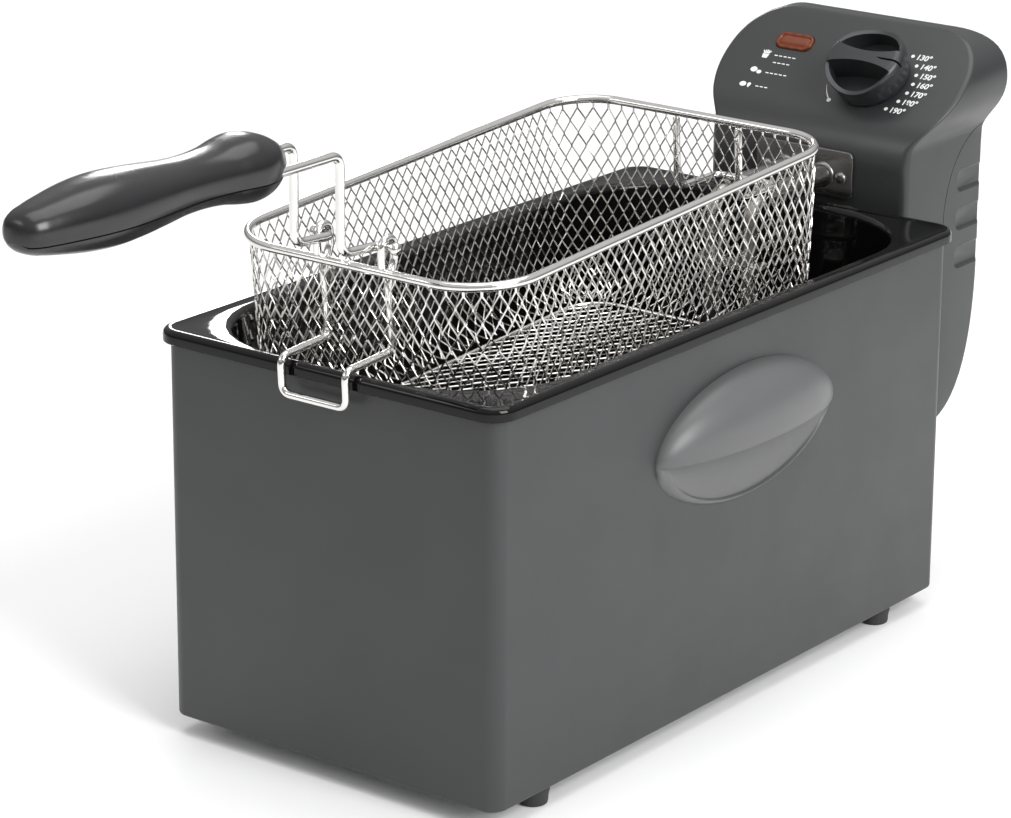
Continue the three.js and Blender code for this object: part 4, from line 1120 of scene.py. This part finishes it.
# ---------- basket ----------
RIM_LOW, RIM_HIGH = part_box("basket_rim")
RIM = 1.95 * MM
BASKET = {
    "length": 247.4 * MM, "depth": 92 * MM, "front": 30 * MM, "back": 25 * MM,
    "round": 12 * MM, "taper": 4 * MM,
}
BASKET_HALF = RIM_HIGH.x - RIM
TILT = math.asin((RIM_HIGH.z - RIM_LOW.z - 2 * RIM) / BASKET["length"])


def in_basket(x, along, up):
    """A point of the hung basket: across, back from the front of its rim, and up from its rim."""
    y = RIM_LOW.y + RIM + along * math.cos(TILT) - up * math.sin(TILT)
    z = RIM_LOW.z + RIM + along * math.sin(TILT) + up * math.cos(TILT)
    return Vector((x, y, z))


def basket_turn(points):
    """The same for an array of (x, along, up) rows."""
    c, s = math.cos(TILT), math.sin(TILT)
    x, along, up = points[..., 0], points[..., 1], points[..., 2]
    y = RIM_LOW.y + RIM + along * c - up * s
    z = RIM_LOW.z + RIM + along * s + up * c
    return np.stack([x, y, z], -1)


def rim_outline():
    """The basket's outline at its rim, from the middle of the front round to it again, close together."""
    ring = rounded_ring(BASKET_HALF, 0, BASKET["length"], BASKET["front"], BASKET["back"], 0, 40)
    start = Vector((0, 0, 0))
    points = [start] + ring + [start]
    dense = []
    for a, b in zip(points, points[1:]):
        count = max(int((b - a).length / (1.5 * MM)), 1)
        dense += [a.lerp(b, k / count) for k in range(count)]
    return dense + [start]


def basket_rim():
    """The rim: one heavy wire, butted at the middle of the front."""
    path = [in_basket(p.x, p.y, 0) for p in rim_outline()]
    path[0] = path[0] + X * 0.15 * MM
    path[-1] = path[-1] - X * 0.15 * MM
    made = wire("rim_wire", path, RIM, CHROME, 24)
    place(made, "basket", "chrome", "basket_rim")


STRAND_WIDTH, STRAND_THICK, STRAND_TWIST = 0.64 * MM, 0.42 * MM, math.radians(20)


def strands(name, lines, normals):
    """Flat twisted strands along many lines at once. lines and normals are (strand, point, 3) arrays."""
    width, thick, twist = STRAND_WIDTH, STRAND_THICK, STRAND_TWIST
    along = np.gradient(lines, axis=1)
    along /= np.linalg.norm(along, axis=2, keepdims=True) + 1e-12
    side = np.cross(along, normals)
    side /= np.linalg.norm(side, axis=2, keepdims=True) + 1e-12
    out = np.cross(side, along)
    turn = np.where(np.arange(len(lines)) % 2 == 0, twist, -twist)[:, None, None]
    flat = side * np.cos(turn) + out * np.sin(turn)
    edge = out * np.cos(turn) - side * np.sin(turn)
    signs = ((1, 1), (-1, 1), (-1, -1), (1, -1))
    corners = [lines + flat * (a * width / 2) + edge * (b * thick / 2) for a, b in signs]
    vertices = np.stack(corners, 2).reshape(-1, 3)
    strand_count, point_count = lines.shape[:2]
    first_points = np.arange(strand_count)[:, None] * point_count
    base = (first_points + np.arange(point_count - 1)[None, :]).reshape(-1) * 4
    faces = []
    for k in range(4):
        j = (k + 1) % 4
        faces.append(np.stack([base + k, base + j, base + 4 + j, base + 4 + k], 1))
    first = np.arange(strand_count) * point_count * 4
    last = first + (point_count - 1) * 4
    faces.append(np.stack([first + 3, first + 2, first + 1, first], 1))
    faces.append(np.stack([last, last + 1, last + 2, last + 3], 1))
    mesh = bpy.data.meshes.new(name)
    mesh.from_pydata(vertices.tolist(), [], np.concatenate(faces).tolist())
    mesh.materials.append(MESH_CHROME)
    return linked(name, mesh)


CELL, ROW, BOND = 6.2 * MM, 4.6 * MM, 0.9 * MM


def zigzag(count, rows, pitch, gap):
    """Sideways and lengthways places of 2 * count strands that meet in bonds, as (strand, point) arrays."""
    column = np.repeat(np.arange(count), 2)
    lean = np.tile([1.0, -1.0], count)
    across, down = [], []
    for row in range(rows + 1):
        out = row % 2
        place_across = column * pitch + lean * (pitch / 2 * out + gap / 2 * (1 - 2 * out))
        for offset in (-0.5, 0.5):
            across.append(place_across)
            down.append(np.full(len(column), row * ROW + offset * BOND))
    return np.stack(across, 1), np.stack(down, 1)


WALL_TOP, CORNER_SAG, SAG_REACH = 2.6 * MM, 11 * MM, 30 * MM
CORNER_PULL, PULL_REACH = 0.42, 34 * MM


def wall_cells(length, drop):
    """Places along and down the wall: cells spread and sag at the rim's corners, and crowd at their feet."""
    count, rows = int(length / CELL), int((drop - 3 * MM) / ROW)
    across, down = zigzag(count, rows, length / count, 0.5 * STRAND_WIDTH)
    down = down + WALL_TOP
    down[:, 0] = 1.2 * MM
    down = np.minimum(down, drop)
    share = down / drop
    front_corner, back_corner = BASKET_HALF - 0.45 * BASKET["front"], BASKET_HALF - 0.3 * BASKET["back"]
    for centre in (front_corner, length / 2 - back_corner, length / 2 + back_corner, length - front_corner):
        away = across - centre - 4 * MM * np.sign(length / 2 - centre)
        pull = CORNER_PULL * (0.45 - share) * np.exp(-((away / PULL_REACH) ** 2))
        across = across + pull * away
        sag = CORNER_SAG * np.exp(-((away / SAG_REACH) ** 2)) * np.sin(math.pi * share)
        down = np.minimum(down + sag, drop)
    wave = np.sin(across / (17 * MM)) * 0.5 * MM + np.sin(across / (7.3 * MM) + 40 * share) * 0.25 * MM
    return (across + wave * share) % length, down, share


def basket_wall():
    """Expanded-metal wall, tapering down and bent in at its foot."""
    outline = np.array([(p.x, p.y) for p in rim_outline()])
    steps = np.linalg.norm(np.diff(outline, axis=0), axis=1)
    run = np.concatenate([[0], np.cumsum(steps)])
    bend_radius, taper, depth = BASKET["round"], BASKET["taper"], BASKET["depth"]
    straight = depth - bend_radius
    across, down, share = wall_cells(run[-1], straight + bend_radius * math.pi / 2)

    def on_outline(places, axis):
        return np.interp(places % run[-1], run, outline[:, axis])

    tx, ty = (on_outline(across + MM, axis) - on_outline(across - MM, axis) for axis in (0, 1))
    size = np.hypot(tx, ty) + 1e-12
    out_x, out_y = ty / size, -tx / size
    turn = np.clip((down - straight) / bend_radius, 0, math.pi / 2)
    up = -np.where(down < straight, down, straight + bend_radius * np.sin(turn))
    inset = taper * np.minimum(-up / depth, 1) + bend_radius * (1 - np.cos(turn))
    inset = inset - 0.35 * MM * np.sin(across / (23 * MM) + 9 * share)
    x, y = on_outline(across, 0) - out_x * inset, on_outline(across, 1) - out_y * inset
    lines = basket_turn(np.stack([x, y, up], -1))
    normals = np.stack([out_x * np.cos(turn), out_y * np.cos(turn), -np.sin(turn)], -1)
    place(strands("mesh_wall", lines, normals), "basket", "chrome", "basket_mesh")


def basket_floor():
    """Expanded-metal floor, and the crimped bead where it meets the wall."""
    inset = BASKET["taper"] + BASKET["round"]
    half, front, back = BASKET_HALF - inset, inset, BASKET["length"] - inset
    level, corner = -BASKET["depth"], 18 * MM
    count = int(2 * half / CELL)
    pitch = 2 * half / count
    rows = int((back - front) / ROW)
    across, along = zigzag(count, rows, pitch, 0.5 * STRAND_WIDTH)
    across = across - half + pitch / 2
    edge = np.maximum(np.abs(across) - (half - corner), 0)
    cut_in = corner - np.sqrt(np.maximum(corner**2 - np.minimum(edge, corner) ** 2, 0))
    along = np.clip(front + along, front + cut_in, back - cut_in)
    across = np.clip(across, -half, half)
    dish = 0.5 * MM * np.sin(across / (21 * MM)) * np.sin(along / (27 * MM))
    lines = basket_turn(np.stack([across, along, level + dish], -1))
    normals = np.broadcast_to(np.array([0, -math.sin(TILT), math.cos(TILT)]), lines.shape)
    made = strands("mesh_floor", lines, normals)
    place(made, "basket", "chrome")
    ring = rounded_ring(half, front, back, corner, corner, 0, 16)
    path = [in_basket(p.x, p.y, level) for p in ring]
    place(wire("floor_bead", path, 0.9 * MM, CHROME, 12, closed=True), "basket", "chrome")


DRAIN = {"x": 16.8, "wire": 1.7, "loop": 4, "leg": 2.7, "arm": -34.3, "reach": -26, "drop": 15.6}
PIVOT_ALONG, PIVOT_UP = 3.5, 9.75


def drain_frame():
    """The hook wire: eyelets over the rim, legs inside the mesh, and a loop out over the tank's flange."""
    x, loop, arm, reach = DRAIN["x"], DRAIN["loop"], DRAIN["arm"], DRAIN["reach"]

    def at(x, along, up):
        return in_basket(x * MM, along * MM, up * MM)

    over = []
    for k in range(17):
        turn = math.pi * (1 - k / 16)
        over.append(at(x, PIVOT_ALONG + loop * math.cos(turn), PIVOT_UP + loop * math.sin(turn)))
    down = bend([at(x, PIVOT_ALONG + loop, PIVOT_UP), at(x, PIVOT_ALONG + loop, 3), at(x, DRAIN["leg"], -4),
                 at(x, DRAIN["leg"] + 1.4, arm), at(x, reach, arm), at(x, reach, arm - DRAIN["drop"]),
                 at(0, reach, arm - DRAIN["drop"])], 4.5 * MM)
    right = [at(x, PIVOT_ALONG - loop, RIM / MM + 0.25)] + over + down[1:]
    left = [Vector((-p.x, p.y, p.z)) for p in right[:-1]]
    made = wire("hook_wire", right + left[::-1], DRAIN["wire"] * MM, CHROME, 22)
    place(made, "basket", "chrome", "drain_frame")


def rear_rest():
    """The loop behind the basket that lies on the element's sleeves."""
    low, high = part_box("rear_rest")
    radius = 1.7 * MM
    x = high.x - radius
    top = in_basket(x, BASKET["length"] + 2.9 * MM, -4 * MM)
    foot_z = low.z + radius
    half = [top, Vector((x, top.y + 1.8 * MM, foot_z)), Vector((x, high.y - radius, foot_z))]
    path = half + [Vector((-p.x, p.y, p.z)) for p in half[::-1]]
    place(wire("rest_wire", bend(path, 5 * MM), radius, CHROME, 20), "basket", "chrome", "rear_rest")


# ---------- handle ----------
PIVOT = Vector(joints["handle_fold"]["pos_m"])
WIRE_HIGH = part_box("handle_wire")[1]
GRIP_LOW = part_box("grip_lower")[0]
GRIP_TOP_LOW, GRIP_TOP_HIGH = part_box("grip_upper")
HANDLE_RADIUS, HANDLE_X, WIRE_IN_GRIP = 1.95 * MM, 12 * MM, 22 * MM


def handle_wire():
    """One bent wire: pivot pins with flattened ends, the crank, two uprights and the arms into the grip."""
    radius, x, pin = HANDLE_RADIUS, HANDLE_X, 21 * MM
    up_y, low_z, grip_z = -123.5 * MM, 231.8 * MM, WIRE_HIGH.z - radius
    half = [Vector((pin, PIVOT.y, PIVOT.z)), Vector((x, PIVOT.y, PIVOT.z)), Vector((x, up_y, low_z)),
            Vector((x, up_y, grip_z)), Vector((x, GRIP_TOP_HIGH.y - WIRE_IN_GRIP, grip_z))]
    path = half + [Vector((-p.x, p.y, p.z)) for p in half[::-1]]
    made = wire("handle_loop", bend(path, 6 * MM, 12), radius, CHROME, 24)
    place(made, "handle", "chrome", "handle_wire")
    for side, name in ((-1, "left"), (1, "right")):
        profile = [(0, 0), (2.3, 0.1), (2.7, 0.5), (2.7, 1.4), (2.4, 2.3), (1.7, 2.9), (0, 3.2)]
        foot = Vector((side * 19.9 * MM, PIVOT.y, PIVOT.z))
        place(turned(f"pin_end_{name}", profile, foot, X * side, CHROME, 32), "handle", "chrome")


# Half-heights of the grip along its length, as (distance from its front end, half-height) in millimetres.
GRIP_PROFILE = [
    (0, 0.5), (0.5, 4), (1.5, 6.6), (5, 9.6), (10, 12.0), (18, 13.6), (26, 12.9), (34, 11.5), (44, 10.7),
    (56, 10.8), (70, 12.1), (84, 13.3), (97, 13.8), (110, 13.0), (122, 11.3), (131, 9.7), (137, 8.2),
    (140.5, 6.2), (142, 4.2),
]
GRIP_WIDE, GRIP_SQUARE, GROOVE = 1.2, 2.3, 0.6


def grip_half_height(along):
    """The grip's half-height at a distance from its front end, on a smooth curve through the profile."""
    spots = np.array(GRIP_PROFILE, float)
    slopes = np.gradient(spots[:, 1], spots[:, 0])
    k = int(np.clip(np.searchsorted(spots[:, 0], along, "right") - 1, 0, len(spots) - 2))
    (x0, y0), (x1, y1) = spots[k], spots[k + 1]
    t, wide = (along - x0) / (x1 - x0), x1 - x0
    low = (2 * t**3 - 3 * t**2 + 1) * y0 + (t**3 - 2 * t**2 + t) * wide * slopes[k]
    high = (3 * t**2 - 2 * t**3) * y1 + (t**3 - t**2) * wide * slopes[k + 1]
    return max(low + high, 0.4)


def grip_ring(along, sign, level):
    """One half's section: the squared oval on one side of a level, which is a height over the grip's axis."""
    half = grip_half_height(along)
    power = 2 / GRIP_SQUARE
    level = math.copysign(min(abs(level), 0.8 * half), level)
    start = math.asin(abs(level / half) ** (1 / power)) * math.copysign(1, level) * sign
    ring = []
    for turn in np.linspace(start, math.pi - start, 41):
        c, r = math.cos(turn), math.sin(turn)
        x = GRIP_WIDE * half * math.copysign(abs(c) ** power, c)
        z = sign * half * math.copysign(abs(r) ** power, r)
        ring.append((x, z))
    return ring


def grips():
    """Upper and lower halves of the grip, with the groove where they meet."""
    front = GRIP_TOP_HIGH.y
    axis_z = (GRIP_LOW.z + GRIP_TOP_HIGH.z) / 2
    parting = (GRIP_TOP_LOW.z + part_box("grip_lower")[1].z) / 2
    length = GRIP_PROFILE[-1][0]
    stations = sorted(set(list(np.linspace(0, length, 90)) + [0.15, 0.4, 0.8, 1.2, 2, 3]))
    for name, node, sign in (("grip_top", "grip_upper", 1), ("grip_base", "grip_lower", -1)):
        level = (parting - axis_z) / MM + sign * GROOVE / 2
        rings = [
            [Vector((x * MM, front - along * MM, axis_z + z * MM)) for x, z in grip_ring(along, sign, level)]
            for along in stations
        ]
        made = new_object(name, *skin(rings), None, 40)
        if sign > 0:
            for side in (-1, 1):
                start = Vector((side * HANDLE_X, front + 5 * MM, WIRE_HIGH.z - HANDLE_RADIUS))
                carve(made, rod("wire_bore", start, start - Y * 28 * MM, 2.15 * MM, 24))
        refinish(made, GRIP_BLACK, 40)
        soften(made, 0.7 * MM, 3, 40)
        place(made, "handle", "grip", node)


# ---------- the object ----------
housing()
carry_handle(1, "carry_handle_right")
carry_handle(-1, "carry_handle_left")
foot_pieces()
oil_tank()
head_covers()
panel_print()
lamp_lens()
knob()
element_plate()
heating_element()
element_strips()
sensor_tube()
cord_gland()
reset_button()
kept_nodes()
basket_rim()
basket_wall()
basket_floor()
drain_frame()
rear_rest()
handle_wire()
grips()


# ---------- floor and light ----------
def floor():
    """A plain pale floor, wide enough to have no edge in any view."""
    mesh = bpy.data.meshes.new("floor")
    mesh.from_pydata([(-6, -6, 0), (6, -6, 0), (6, 6, 0), (-6, 6, 0)], [], [(0, 1, 2, 3)])
    mesh.materials.append(Finish("pale_floor", (0.9, 0.9, 0.9), 0.9, Specular_IOR_Level=0.1).material)
    linked("floor", mesh)


def area_light(name, position, target, size, power):
    """A soft rectangular light that faces its target."""
    data = bpy.data.lights.new(name, "AREA")
    data.shape = "RECTANGLE"
    data.size, data.size_y = size
    data.energy = power
    made = linked(name, data)
    made.location = position
    made.rotation_euler = (Vector(target) - Vector(position)).to_track_quat("-Z", "Y").to_euler()


def world():
    """A soft white surround, a little darker towards the horizon."""
    surround = bpy.data.worlds.new("studio")
    bpy.context.scene.world = surround
    surround.use_nodes = True
    nodes, links = surround.node_tree.nodes, surround.node_tree.links
    split = nodes.new("ShaderNodeSeparateXYZ")
    links.new(nodes.new("ShaderNodeTexCoord").outputs["Generated"], split.inputs[0])
    ramp = nodes.new("ShaderNodeValToRGB")
    ramp.color_ramp.elements[0].color = (0.2, 0.2, 0.205, 1)
    ramp.color_ramp.elements[1].color = (1, 1, 1, 1)
    ramp.color_ramp.elements[1].position = 0.55
    links.new(split.outputs["Z"], ramp.inputs["Fac"])
    links.new(ramp.outputs["Color"], nodes["Background"].inputs["Color"])
    nodes["Background"].inputs["Strength"].default_value = 0.66


floor()
world()
area_light("key", (2.2, -0.4, 1.5), (0, 0.05, 0.12), (1.2, 1.4), 60)
area_light("fill", (-1.2, -1.9, 1.5), (0, 0, 0.12), (0.9, 0.7), 6)
area_light("top", (0.1, 0.3, 2.2), (0, 0.05, 0.1), (1.8, 1.8), 24)
area_light("flange_sheen", (-1.87, 1.86, 1.0), (-0.08, -0.1, 0.18), (0.3, 0.45), 9)
bpy.context.scene.view_settings.view_transform = "Standard"
